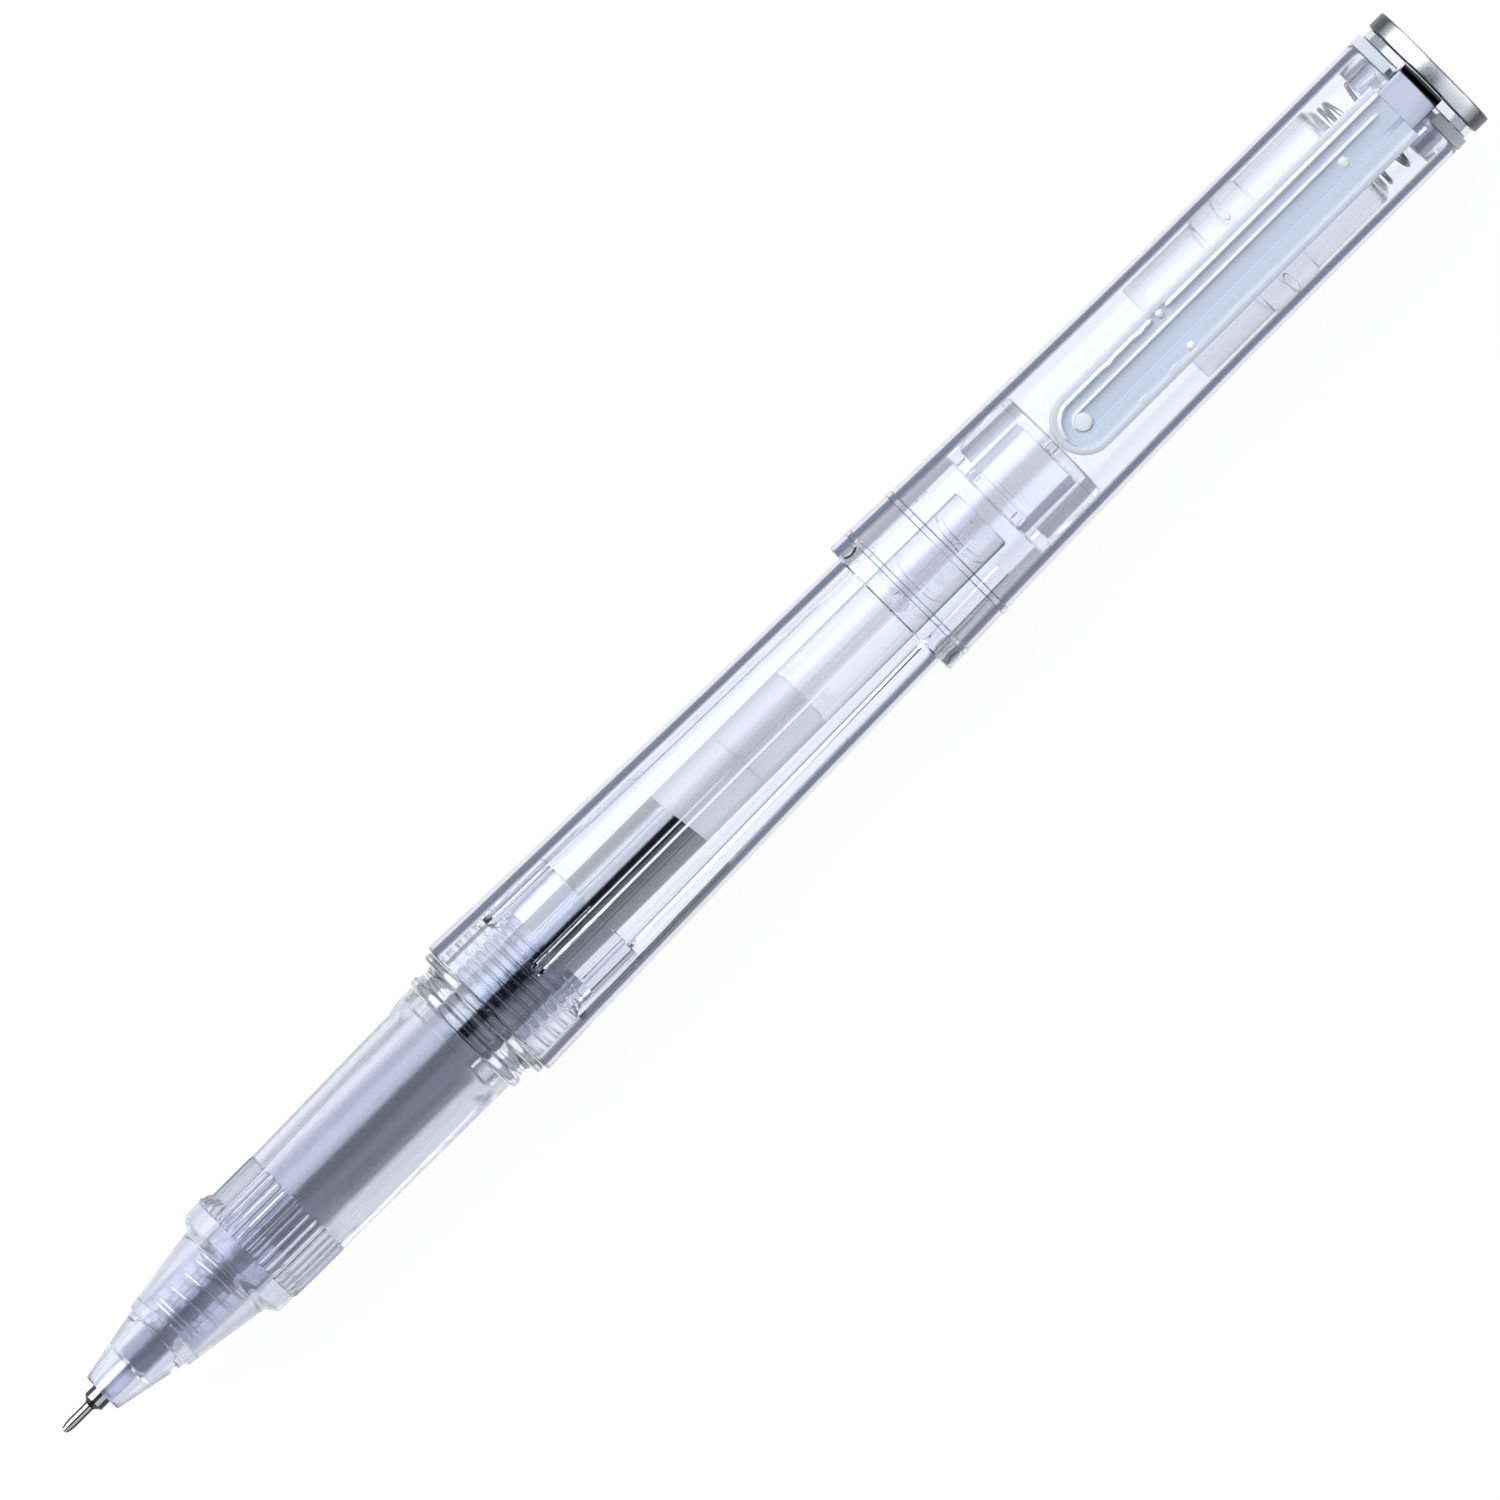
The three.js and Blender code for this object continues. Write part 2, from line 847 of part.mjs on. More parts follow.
// The pen lies on the flats of its widest rim.
const lyingHeight = BARREL.frontRadius * Math.cos(Math.PI / SIDES);
pen.position.set(-PEN_LENGTH / 2, 0, lyingHeight);

const root = new THREE.Group();
root.add(pen);

export default root;
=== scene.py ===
import math

import bmesh
import bpy
from mathutils import Matrix, Vector


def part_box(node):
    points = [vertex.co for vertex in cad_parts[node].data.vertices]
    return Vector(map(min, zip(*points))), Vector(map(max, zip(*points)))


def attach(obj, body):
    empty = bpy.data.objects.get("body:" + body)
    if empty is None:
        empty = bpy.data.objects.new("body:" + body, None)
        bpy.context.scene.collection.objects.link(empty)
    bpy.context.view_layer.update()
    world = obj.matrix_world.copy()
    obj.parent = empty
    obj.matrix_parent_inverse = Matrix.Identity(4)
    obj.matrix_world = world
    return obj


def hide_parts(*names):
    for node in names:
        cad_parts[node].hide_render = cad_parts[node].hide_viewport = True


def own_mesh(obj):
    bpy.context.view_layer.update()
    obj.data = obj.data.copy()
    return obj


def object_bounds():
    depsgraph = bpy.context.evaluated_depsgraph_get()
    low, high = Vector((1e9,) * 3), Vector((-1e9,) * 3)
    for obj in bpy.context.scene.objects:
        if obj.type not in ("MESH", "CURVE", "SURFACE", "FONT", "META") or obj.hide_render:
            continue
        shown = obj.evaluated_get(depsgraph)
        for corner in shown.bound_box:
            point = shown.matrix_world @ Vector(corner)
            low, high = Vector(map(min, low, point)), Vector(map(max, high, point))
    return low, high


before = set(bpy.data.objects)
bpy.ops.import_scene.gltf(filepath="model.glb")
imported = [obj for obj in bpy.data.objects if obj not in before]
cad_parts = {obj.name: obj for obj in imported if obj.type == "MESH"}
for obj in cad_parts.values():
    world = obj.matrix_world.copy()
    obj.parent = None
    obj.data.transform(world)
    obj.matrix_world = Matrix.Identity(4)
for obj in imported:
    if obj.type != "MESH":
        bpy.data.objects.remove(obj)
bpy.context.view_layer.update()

# A clear capped gel-ink pen that lies on its side with the cap posted on its tail.
# Shapes are given in millimetres in the pen's own terms: "along" is the distance from the writing tip,
# "radius" is from the pen's axis, and angles turn about the axis from +Z (the clip) towards +Y.

MM = 0.001
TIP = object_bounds()[0].x / MM
AXIS_HEIGHT = sum(corner.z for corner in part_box("ink_tube")) / 2 / MM


def span(node):
    """Where a CAD node starts and ends along the pen, in millimetres."""
    low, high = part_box(node)
    return low.x / MM - TIP, high.x / MM - TIP


def extent(node):
    """Half of a CAD node's width and its least and greatest height above the axis, in millimetres."""
    low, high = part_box(node)
    return (high.y - low.y) / 2 / MM, low.z / MM - AXIS_HEIGHT, high.z / MM - AXIS_HEIGHT


def place(along, radius, angle):
    """A point of the pen in metres, from its angle in degrees."""
    turn = math.radians(angle)
    return Vector((
        (TIP + along) * MM,
        radius * math.sin(turn) * MM,
        (AXIS_HEIGHT + radius * math.cos(turn)) * MM,
    ))


def point(along, side, height):
    """A point of the pen in metres, from its place across the pen and its height above the axis."""
    return Vector(((TIP + along) * MM, side * MM, (AXIS_HEIGHT + height) * MM))


# ---- Meshes ----

SMOOTH_BELOW = 31  # degrees: an edge sharper than this stays crisp
NEARLY_STRAIGHT = 172  # degrees: a corner wider than this is not rounded
MERGED = 1e-7  # metres: points closer than this are one point


def linked(name, data):
    """A new object in the scene."""
    obj = bpy.data.objects.new(name, data)
    bpy.context.scene.collection.objects.link(obj)
    return obj


def new_object(name, verts, faces, smooth_below=SMOOTH_BELOW):
    """A closed piece from its points in metres and its faces."""
    mesh = bpy.data.meshes.new(name)
    mesh.from_pydata([tuple(v) for v in verts], [], faces)
    bm = bmesh.new()
    bm.from_mesh(mesh)
    bmesh.ops.remove_doubles(bm, verts=bm.verts, dist=MERGED)
    bmesh.ops.dissolve_degenerate(bm, edges=bm.edges, dist=MERGED)
    bmesh.ops.recalc_face_normals(bm, faces=bm.faces)
    if bm.calc_volume(signed=True) < 0:
        bmesh.ops.reverse_faces(bm, faces=bm.faces)
    bm.to_mesh(mesh)
    bm.free()
    smooth(mesh, smooth_below)
    return linked(name, mesh)


def smooth(mesh, smooth_below=SMOOTH_BELOW):
    mesh.shade_smooth()
    mesh.set_sharp_from_angle(angle=math.radians(smooth_below))


def evenly(count, start=0.0):
    """Angles spaced evenly round the pen."""
    return [start + 360 * i / count for i in range(count)]


def eased(outline, reach, steps=3):
    """The same closed outline of (along, radius) points with its corners off the axis rounded."""
    made = []
    count = len(outline)
    for i, corner in enumerate(outline):
        here = Vector(corner)
        before = Vector(outline[i - 1]) - here
        after = Vector(outline[(i + 1) % count]) - here
        doubled = min(before.length, after.length) < 1e-6
        if here.y <= 0 or doubled or before.angle(after) > math.radians(NEARLY_STRAIGHT):
            made.append(tuple(here))
            continue
        cut = min(reach, 0.4 * before.length, 0.4 * after.length)
        first = here + before.normalized() * cut
        last = here + after.normalized() * cut
        for step in range(steps + 1):
            share = step / steps
            middle = first.lerp(here, share).lerp(here.lerp(last, share), share)
            made.append(tuple(middle))
    return made


def sampled(line, longest):
    """The open line with points added until no stretch is longer than that."""
    made = []
    for start, end in zip(line, line[1:]):
        pieces = max(1, math.ceil(math.dist(start, end) / longest))
        made += [tuple(Vector(start).lerp(Vector(end), k / pieces)) for k in range(pieces)]
    return made + [line[-1]]


def band(row, next_row, columns, closed=True):
    """The faces between two rows of a grid of points that is numbered row by row."""
    faces = []
    for column in range(columns if closed else columns - 1):
        other = (column + 1) % columns
        faces.append((
            row * columns + column,
            row * columns + other,
            next_row * columns + other,
            next_row * columns + column,
        ))
    return faces


def turned(name, outline, angles, shape=None):
    """A body turned round the pen's axis from a closed outline of (along, radius) points.
    shape(along, radius, angle) may move a point of the surface."""
    verts = []
    for along, radius in outline:
        for angle in angles:
            here = (along, radius)
            if shape is not None and radius > 0:
                here = shape(along, radius, angle)
            verts.append(place(*here, angle))
    faces = []
    for row in range(len(outline)):
        next_row = (row + 1) % len(outline)
        if outline[row][1] > 0 or outline[next_row][1] > 0:
            faces += band(row, next_row, len(angles))
    return new_object(name, verts, faces)


def swept_wire(name, path, radius, sides=12):
    """Round wire along a list of points in metres, with rounded ends."""
    last = len(path) - 1
    tangent = [(path[min(i + 1, last)] - path[max(i - 1, 0)]).normalized() for i in range(last + 1)]
    shares = (0.02, 0.3, 0.65, 0.9)
    ends = [(radius * (1 - share) * MM, radius * math.sqrt(1 - (1 - share) ** 2)) for share in shares]
    stations = [(path[0] - tangent[0] * reach, tangent[0], size) for reach, size in ends]
    stations += [(here, along, radius) for here, along in zip(path, tangent)]
    stations += [(path[-1] + tangent[-1] * reach, tangent[-1], size) for reach, size in reversed(ends)]
    side = tangent[0].cross(Vector((1, 0, 0)))
    verts = []
    for centre, along, size in stations:
        side = (side - along * side.dot(along)).normalized()
        up = along.cross(side)
        for k in range(sides):
            turn = 2 * math.pi * k / sides
            verts.append(centre + (side * math.cos(turn) + up * math.sin(turn)) * size * MM)
    faces = []
    for row in range(len(stations) - 1):
        faces += band(row, row + 1, sides)
    first = (len(stations) - 1) * sides
    faces += [tuple(range(sides)), tuple(range(first, first + sides))]
    return new_object(name, verts, faces)


def coil(start, stations, radius, steps_per_turn=40):
    """Points of a right-handed coil about the pen's axis, through (turn, along) stations from an angle."""
    points = []
    for (turn_a, along_a), (turn_b, along_b) in zip(stations, stations[1:]):
        steps = max(2, round((turn_b - turn_a) * steps_per_turn))
        for k in range(steps):
            share = k / steps
            turn = turn_a + (turn_b - turn_a) * share
            points.append(place(along_a + (along_b - along_a) * share, radius, start - 360 * turn))
    points.append(place(stations[-1][1], radius, start - 360 * stations[-1][0]))
    return points


def prism(name, outline, low, high, ease=0.0):
    """A flat body: an outline of (along, side) points between two heights, its top and bottom edges eased.
    Below zero, ease is how much narrower its bottom is than its top, on each side."""
    levels = [(low, -ease), (high, 0.0)]
    if ease > 0:
        levels = [(low, ease), (low + ease, 0.0), (high - ease, 0.0), (high, ease)]
    count = len(outline)
    centre = Vector((sum(p[0] for p in outline) / count, sum(p[1] for p in outline) / count))
    verts = []
    for height, inset in levels:
        for corner in outline:
            here = Vector(corner)
            verts.append(point(*(here - (here - centre).normalized() * inset), height))
    faces = [tuple(range(count)), tuple(range((len(levels) - 1) * count, len(levels) * count))]
    for row in range(len(levels) - 1):
        faces += band(row, row + 1, count)
    return new_object(name, verts, faces)


def ball(name, placing, radius=1.0, steps=4):
    """A ball about the origin that a matrix moves and stretches."""
    mesh = bpy.data.meshes.new(name)
    bm = bmesh.new()
    bmesh.ops.create_icosphere(bm, subdivisions=steps, radius=radius)
    bm.transform(placing)
    bm.to_mesh(mesh)
    bm.free()
    return linked(name, mesh)


def egg(centre, sizes, steps=4):
    """A round lump with the given half sizes in millimetres, to be joined to a piece."""
    stretch = Matrix.Diagonal((*[size * MM for size in sizes], 1.0))
    return ball("egg", Matrix.Translation(centre) @ stretch, steps=steps)


def cut_away(obj, cutters, operation="DIFFERENCE"):
    """Cuts the cutters out of a piece, or joins them to it, and removes them."""
    for cutter in cutters:
        modifier = obj.modifiers.new("cut", "BOOLEAN")
        modifier.operation = operation
        modifier.solver = "EXACT"
        modifier.object = cutter
    made = bpy.data.meshes.new_from_object(obj.evaluated_get(bpy.context.evaluated_depsgraph_get()))
    obj.modifiers.clear()
    old = obj.data
    obj.data = made
    made.name = old.name
    bpy.data.meshes.remove(old)
    for cutter in cutters:
        bpy.data.objects.remove(cutter)
    smooth(obj.data)
    return obj


def square_bar(along_low, along_high, half_width):
    """The outline of a bar with square ends, seen from above."""
    corners = ((along_low, -1), (along_high, -1), (along_high, 1), (along_low, 1))
    return [(along, side * half_width) for along, side in corners]


def round_bar(along_low, along_high, half_width, steps=16):
    """The outline of a bar with round ends, seen from above."""
    outline = []
    for centre, first in ((along_low + half_width, 90), (along_high - half_width, -90)):
        for k in range(steps + 1):
            turn = math.radians(first + 180 * k / steps)
            outline.append((centre + half_width * math.cos(turn), half_width * math.sin(turn)))
    return outline


def turned_about_axis(obj, angle):
    """Turns a piece about the pen's axis, from +Z towards +Y."""
    centre = Matrix.Translation((0, 0, AXIS_HEIGHT * MM))
    obj.data.transform(centre @ Matrix.Rotation(math.radians(-angle), 4, "X") @ centre.inverted())
    return obj


def prisms_round(name, outline, low, high, angles, ease=0.0):
    """The same prism at several angles about the pen."""
    return [turned_about_axis(prism(name, outline, low, high, ease), angle) for angle in angles]


# ---- Materials ----

def shader_tree(name):
    """A new material with nothing but a Principled shader, and that shader."""
    material = bpy.data.materials.new(name)
    material.use_nodes = True
    nodes = material.node_tree.nodes
    nodes.clear()
    output = nodes.new("ShaderNodeOutputMaterial")
    principled = nodes.new("ShaderNodeBsdfPrincipled")
    material.node_tree.links.new(principled.outputs["BSDF"], output.inputs["Surface"])
    return material, principled


def noise(material, scale, detail=3.0, stretch=(1, 1, 1), roughness=0.55):
    """Noise over the piece, with its features about 1 / scale metres wide, stretched by axis."""
    tree = material.node_tree
    coordinates = tree.nodes.new("ShaderNodeTexCoord")
    mapping = tree.nodes.new("ShaderNodeMapping")
    mapping.inputs["Scale"].default_value = stretch
    texture = tree.nodes.new("ShaderNodeTexNoise")
    texture.inputs["Scale"].default_value = scale
    texture.inputs["Detail"].default_value = detail
    texture.inputs["Roughness"].default_value = roughness
    tree.links.new(coordinates.outputs["Object"], mapping.inputs["Vector"])
    tree.links.new(mapping.outputs["Vector"], texture.inputs["Vector"])
    return texture.outputs["Fac"]


def spread(owner, source, low, high, first=0.3, last=0.7, way="LINEAR"):
    """A value from low to high as source goes from first to last, for a material or a world."""
    ramp = owner.node_tree.nodes.new("ShaderNodeMapRange")
    ramp.interpolation_type = way
    for limit, value in (("From Min", first), ("From Max", last), ("To Min", low), ("To Max", high)):
        ramp.inputs[limit].default_value = value
    owner.node_tree.links.new(source, ramp.inputs["Value"])
    return ramp.outputs["Result"]


def levels(owner, source, stops, share=1.0):
    """A grey that goes through (position, level) stops along source."""
    ramp = owner.node_tree.nodes.new("ShaderNodeValToRGB")
    elements = ramp.color_ramp.elements
    while len(elements) < len(stops):
        elements.new(0.5)
    for element, (position, level) in zip(elements, stops):
        element.position = position
        element.color = (level * share, level * share, level * share, 1)
    owner.node_tree.links.new(source, ramp.inputs["Fac"])
    return ramp.outputs["Color"]


def worked_out(owner, operation, *sources):
    """A value worked out from others."""
    node = owner.node_tree.nodes.new("ShaderNodeMath")
    node.operation = operation
    for socket, source in zip(node.inputs, sources):
        owner.node_tree.links.new(source, socket)
    return node.outputs["Value"]


def place_of_shading(owner, output):
    """The place being shaded, as its X, Y and Z."""
    nodes = owner.node_tree.nodes
    split = nodes.new("ShaderNodeSeparateXYZ")
    owner.node_tree.links.new(nodes.new("ShaderNodeTexCoord").outputs[output], split.inputs["Vector"])
    return split.outputs


def blended(material, source, first, last):
    """A colour between two, by source. Each of the two is a colour or an output that gives one."""
    tree = material.node_tree
    mix = tree.nodes.new("ShaderNodeMix")
    mix.data_type = "RGBA"
    for socket, colour in ((mix.inputs["A"], first), (mix.inputs["B"], last)):
        if isinstance(colour, tuple):
            socket.default_value = (*colour, 1)
        else:
            tree.links.new(colour, socket)
    tree.links.new(source, mix.inputs["Factor"])
    return mix.outputs["Result"]


def bumped(material, principled, source, strength, distance):
    """Gives a material fine bumps that follow source."""
    tree = material.node_tree
    bump = tree.nodes.new("ShaderNodeBump")
    bump.inputs["Strength"].default_value = strength
    bump.inputs["Distance"].default_value = distance
    tree.links.new(source, bump.inputs["Height"])
    tree.links.new(bump.outputs["Normal"], principled.inputs["Normal"])


# Painted dark edges, a stand-in for the dark surroundings that a wall on edge reflects and bends in: pairs of
# how far a face is turned away from the eye, from 0 to 1, and how dark it is painted there.
THIN_EDGE = ((0.43, 0.0), (0.48, 0.9), (0.52, 1.0), (0.655, 1.0), (0.69, 0.3), (1.0, 0.5))
THICK_EDGE = ((0.25, 0.0), (0.28, 0.8), (0.55, 0.9), (0.60, 0.0))
# A wide painted dark band, for the barrel's outside under the posted cap.
POSTED_EDGE = ((0.42, 0.0), (0.46, 0.85), (0.88, 0.85), (1.0, 0.5))
NO_EDGE = ((0.0, 0.0), (1.0, 0.0))
# Painted dark reflections round turned, coiled and drawn metal.
METAL_EDGE = ((0.25, 0.0), (0.36, 0.6), (0.5, 0.95), (1.0, 1.0))
WIRE_EDGE = ((0.13, 0.0), (0.24, 0.95), (1.0, 1.0))
# Paints black every face that turns a little away: a painted dark reflection on the clip plate's bend.
BEND_EDGE = ((0.01, 0.0), (0.04, 1.0), (1.0, 1.0))
# Painted dark lines on the flanks of the grip's ribs.
RIB_EDGE = ((0.16, 0.0), (0.34, 1.0), (0.75, 1.0), (0.88, 0.3))


def painted_dark_edges(material, colour, dark, edge, share=1.0):
    """The colour with painted dark edges: darkened by how far the surface turns away, a painted stand-in for
    the surroundings that a wall on edge bends in.
    """
    weight = material.node_tree.nodes.new("ShaderNodeLayerWeight")
    weight.inputs["Blend"].default_value = 0.5
    return blended(material, levels(material, weight.outputs["Facing"], edge, share), colour, dark)


def clear_plastic(
    name, dark, light, rough_low, rough_high, grain, strength, edge=NO_EDGE, share=1.0, passing=1.0, ior=1.5
):
    """Clear moulded plastic: faint colour streaks from the flow, fine handling marks and a slightly wavy
    skin. edge and share set its painted dark edges, and passing is how much light goes through."""
    material, principled = shader_tree(name)
    link = material.node_tree.links.new
    flow = noise(material, 90, 2.0, (0.25, 1, 1))
    marks = noise(material, grain, 6.0, (0.3, 1, 1), 0.7)
    # The dark slate that the painted dark edges go to.
    colour = painted_dark_edges(material, blended(material, flow, dark, light), (0.010, 0.017, 0.045), edge, share)
    link(colour, principled.inputs["Base Color"])
    link(spread(material, marks, rough_low, rough_high), principled.inputs["Roughness"])
    principled.inputs["Transmission Weight"].default_value = passing
    principled.inputs["IOR"].default_value = ior
    bumped(material, principled, marks, strength, 0.00002)
    return material


def matt_behind(material, along, more):
    """Makes a material rougher behind a place along the pen, as where a polished nose meets a matt grip."""
    rough = material.node_tree.nodes["Principled BSDF"].inputs["Roughness"]
    here = place_of_shading(material, "Object")["X"]
    extra = spread(material, here, 0.0, more, (TIP + along) * MM, (TIP + along + 0.3) * MM)
    total = worked_out(material, "ADD", rough.links[0].from_socket, extra)
    material.node_tree.links.new(total, rough)


def solid_plastic(name, dark, light, rough_low, rough_high, grain, strength, ior=1.49):
    """Opaque plastic, ink or enamel with a fine grain."""
    material, principled = shader_tree(name)
    link = material.node_tree.links.new
    cloud = noise(material, grain / 6, 3.0)
    fine = noise(material, grain, 5.0, (1, 1, 1), 0.7)
    link(blended(material, cloud, dark, light), principled.inputs["Base Color"])
    link(spread(material, fine, rough_low, rough_high), principled.inputs["Roughness"])
    principled.inputs["IOR"].default_value = ior
    bumped(material, principled, fine, strength, 0.00003)
    return material


def metal(name, dark, light, rough_low, rough_high, grain, stretch, strength, edge=None):
    """Metal with tool marks along the way it was turned, drawn or rolled, and painted dark edges when an edge
    is given.
    """
    material, principled = shader_tree(name)
    link = material.node_tree.links.new
    marks = noise(material, grain, 6.0, stretch, 0.65)
    colour = blended(material, marks, dark, light)
    # Painted dark reflections at the edges of the metal.
    if edge is not None:
        colour = painted_dark_edges(material, colour, (0.02, 0.02, 0.025), edge)
    link(colour, principled.inputs["Base Color"])
    link(spread(material, marks, rough_low, rough_high), principled.inputs["Roughness"])
    principled.inputs["Metallic"].default_value = 1.0
    bumped(material, principled, marks, strength, 0.00001)
    return material


EVEN = (1, 1, 1)
# Skins: the least and the greatest roughness, how fine the marks are and how deep.
POLISHED = 0.0, 0.01, 2600, 0.004
HONED = 0.05, 0.08, 3800, 0.01
SILKY = 0.2, 0.26, 3600, 0.02
MATT = 0.28, 0.34, 3600, 0.02
GLASS = (0.85, 0.875, 0.95), (0.87, 0.895, 0.96), *POLISHED
MILKY = (0.77, 0.80, 0.92), (0.81, 0.835, 0.94), 0.055, 0.075, 5200, 0.01
TURNED_STEEL = (0.78, 0.79, 0.80), (0.90, 0.91, 0.92), 0.08, 0.16, 6500, (3, 0.2, 0.2), 0.1

CLEAR = clear_plastic("clear_plastic", *GLASS, THIN_EDGE)
THICK = clear_plastic("thick_plastic", *GLASS, THICK_EDGE)
POSTED = clear_plastic("clear_plastic_tail", (0.96, 0.965, 0.98), (0.97, 0.975, 0.99), *POLISHED, POSTED_EDGE)
BORE = clear_plastic("clear_plastic_bore", (0.95, 0.955, 0.985), (0.96, 0.965, 0.99), *POLISHED)
BONDED = clear_plastic("bonded_plastic", (0.98, 0.98, 0.99), (1.0, 1.0, 1.0), *POLISHED, ior=1.0)
PLUG = clear_plastic("plug_plastic", (0.94, 0.95, 0.975), (0.95, 0.96, 0.98), *POLISHED, THICK_EDGE)
HAZY = clear_plastic("hazy_plastic", *MILKY, THIN_EDGE, 0.3, 0.88)
RIBBED = clear_plastic("hazy_plastic_ribs", *MILKY, RIB_EDGE, 0.6, 0.88)
SLATE = clear_plastic("holder_plastic_slate", (0.30, 0.34, 0.44), (0.34, 0.38, 0.48), *HONED, passing=0.6)
HOLDER = clear_plastic("holder_plastic", (0.80, 0.82, 0.87), (0.85, 0.87, 0.91), *HONED, THIN_EDGE, 0.1)
TUBE = clear_plastic(
    "tube_plastic", (0.95, 0.95, 0.965), (0.97, 0.97, 0.98), 0.01, 0.03, 3800, 0.004, THIN_EDGE, 0.1
)
INNER = clear_plastic(
    "inner_cap_plastic", (0.93, 0.94, 0.965), (0.96, 0.97, 0.985), 0.1, 0.16, 4200, 0.01, THIN_EDGE, 0.05
)
ARM = clear_plastic("arm_plastic", (0.72, 0.78, 0.89), (0.77, 0.83, 0.93), *MATT, passing=0.12)
# A darker copy of the arm's plastic: painted shade, for the slopes on the arm's -Y side.
ARM_PAINTED_SHADE = clear_plastic("arm_painted_shade_plastic", (0.52, 0.58, 0.70), (0.57, 0.63, 0.74), *MATT, passing=0.12)
RIM = clear_plastic("arm_rim_plastic", (0.95, 0.94, 0.965), (0.98, 0.97, 0.985), *SILKY, THIN_EDGE, 0.6, 0.3)
# A lighter copy of the arm's plastic: painted highlight, for the slopes on the arm's +Y side and for its
# raised disc, pegs and bump.
ARM_PAINTED_HIGHLIGHT = clear_plastic("arm_painted_highlight_plastic", (0.97, 0.98, 1.0), (1.0, 1.0, 1.0), *SILKY, passing=0.1)
WHITE = clear_plastic(
    "white_plastic", (0.66, 0.70, 0.75), (0.72, 0.76, 0.80), 0.32, 0.5, 5200, 0.03, passing=0.4
)
GREY = clear_plastic(
    "grey_plastic", (0.97, 0.98, 0.995), (0.99, 0.99, 1.0), 0.3, 0.4, 4200, 0.02, passing=0.92, ior=1.2
)
GREASE = clear_plastic(
    "grease", (0.985, 0.965, 0.95), (1.0, 0.985, 0.97), 0.3, 0.4, 1400, 0.02, passing=0.92, ior=1.2
)
INK = solid_plastic("ink", (0.006, 0.007, 0.012), (0.016, 0.018, 0.028), 0.03, 0.07, 1100, 0.001, ior=3.2)
STRIP = solid_plastic("strip_metal", (0.86, 0.88, 0.93), (0.92, 0.93, 0.97), 0.16, 0.28, 2200, 0.02)
SPRING = metal(
    "spring_steel", (0.58, 0.58, 0.60), (0.74, 0.74, 0.76), 0.12, 0.22, 3800, EVEN, 0.1, METAL_EDGE
)
BRIGHT_WIRE = metal("bright_wire", (0.86, 0.87, 0.90), (0.95, 0.95, 0.97), 0.10, 0.2, 3800, EVEN, 0.1)
TIP_STEEL = metal("tip_steel", *TURNED_STEEL, WIRE_EDGE)
BODY_STEEL = metal("needle_body_steel", *TURNED_STEEL)
# Its bend is painted black, a painted dark reflection.
CHROME = metal(
    "chrome", (0.78, 0.81, 0.97), (0.83, 0.86, 1.0), 0.02, 0.05, 2200, (0.2, 1, 1), 0.005, BEND_EDGE
)
SATIN = metal("satin_metal", (0.84, 0.86, 0.88), (0.94, 0.95, 0.97), 0.24, 0.36, 7000, EVEN, 0.35, METAL_EDGE)
CARBIDE = metal("carbide", (0.30, 0.30, 0.32), (0.42, 0.42, 0.44), 0.08, 0.18, 9000, EVEN, 0.1)


def finish(obj, material, body, slot, *nodes):
    """Gives a piece its material and its body, and hides the CAD nodes that it stands for. slot is not used.
    """
    obj.data.materials.clear()
    obj.data.materials.append(material)
    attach(obj, body)
    if nodes:
        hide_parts(*nodes)
    return obj


def outward(face):
    """Whether a face looks away from the pen's axis."""
    return face.normal.dot(Vector((0, face.center.y, face.center.z - AXIS_HEIGHT * MM))) > 0


def repainted(obj, others, choose):
    """Adds materials to a piece. choose(face, along) gives each face its own one, from 1, or 0 for the first
    material that the piece had."""
    for material in others:
        obj.data.materials.append(material)
    for face in obj.data.polygons:
        face.material_index = int(choose(face, face.center.x / MM - TIP))
    return obj


# ---- Refill ----

FINE = evenly(96)
COARSE = evenly(64)

TUBE_FRONT, TUBE_BACK = span("ink_tube")
TUBE_RADIUS = 3.1
TUBE_BORE = 2.45
INK_RADIUS = TUBE_BORE + 0.02
BALL_RADIUS = 0.27
TIP_INK = 1.18  # the radius of the ink's channel through the tip holder
NEEDLE_BODY = 4.7  # where the needle's thick steel body starts
STEM_START, STEM_END = 8.55, 12.15  # the tip holder's thin stem


def loose_ball(name, centre, radius, material, slot, node):
    """A ball that is a body of its own, named as its node."""
    obj = ball(name, Matrix.Translation(centre), radius)
    obj.data.shade_smooth()
    return finish(obj, material, node, slot, node)


def writing_ball():
    centre = place(BALL_RADIUS, 0, 0)
    return loose_ball("ball", centre, BALL_RADIUS * MM, CARBIDE, "carbide", "writing_ball")


def needle_tip():
    front, back = span("needle_tip")
    shank, body, spigot = 0.46, 1.0, 0.72
    ogive = [(front + 0.95 * k / 6, 0.3 + (shank - 0.3) * math.sin(math.pi / 2 * k / 6)) for k in range(7)]
    shoulder = [
        (3.0 + 0.6 * k / 5, shank + (body - shank) * (1 - math.cos(math.pi / 2 * (k / 5)))) for k in range(6)
    ]
    outline = ogive + shoulder + [
        (NEEDLE_BODY, body), (8.15, body), (8.2, body - 0.05), (8.2, spigot), (back, spigot),
        (back, shank - 0.05), (3.45, shank - 0.05), (3.0, 0.16), (0.66, 0.16), (0.66, 0.31),
        (BALL_RADIUS, 0.31), (front, 0.25),
    ]
    obj = finish(turned("needle", outline, COARSE), TIP_STEEL, "refill", "tip_steel", "needle_tip")
    return repainted(obj, [BODY_STEEL], lambda face, along: along > NEEDLE_BODY)


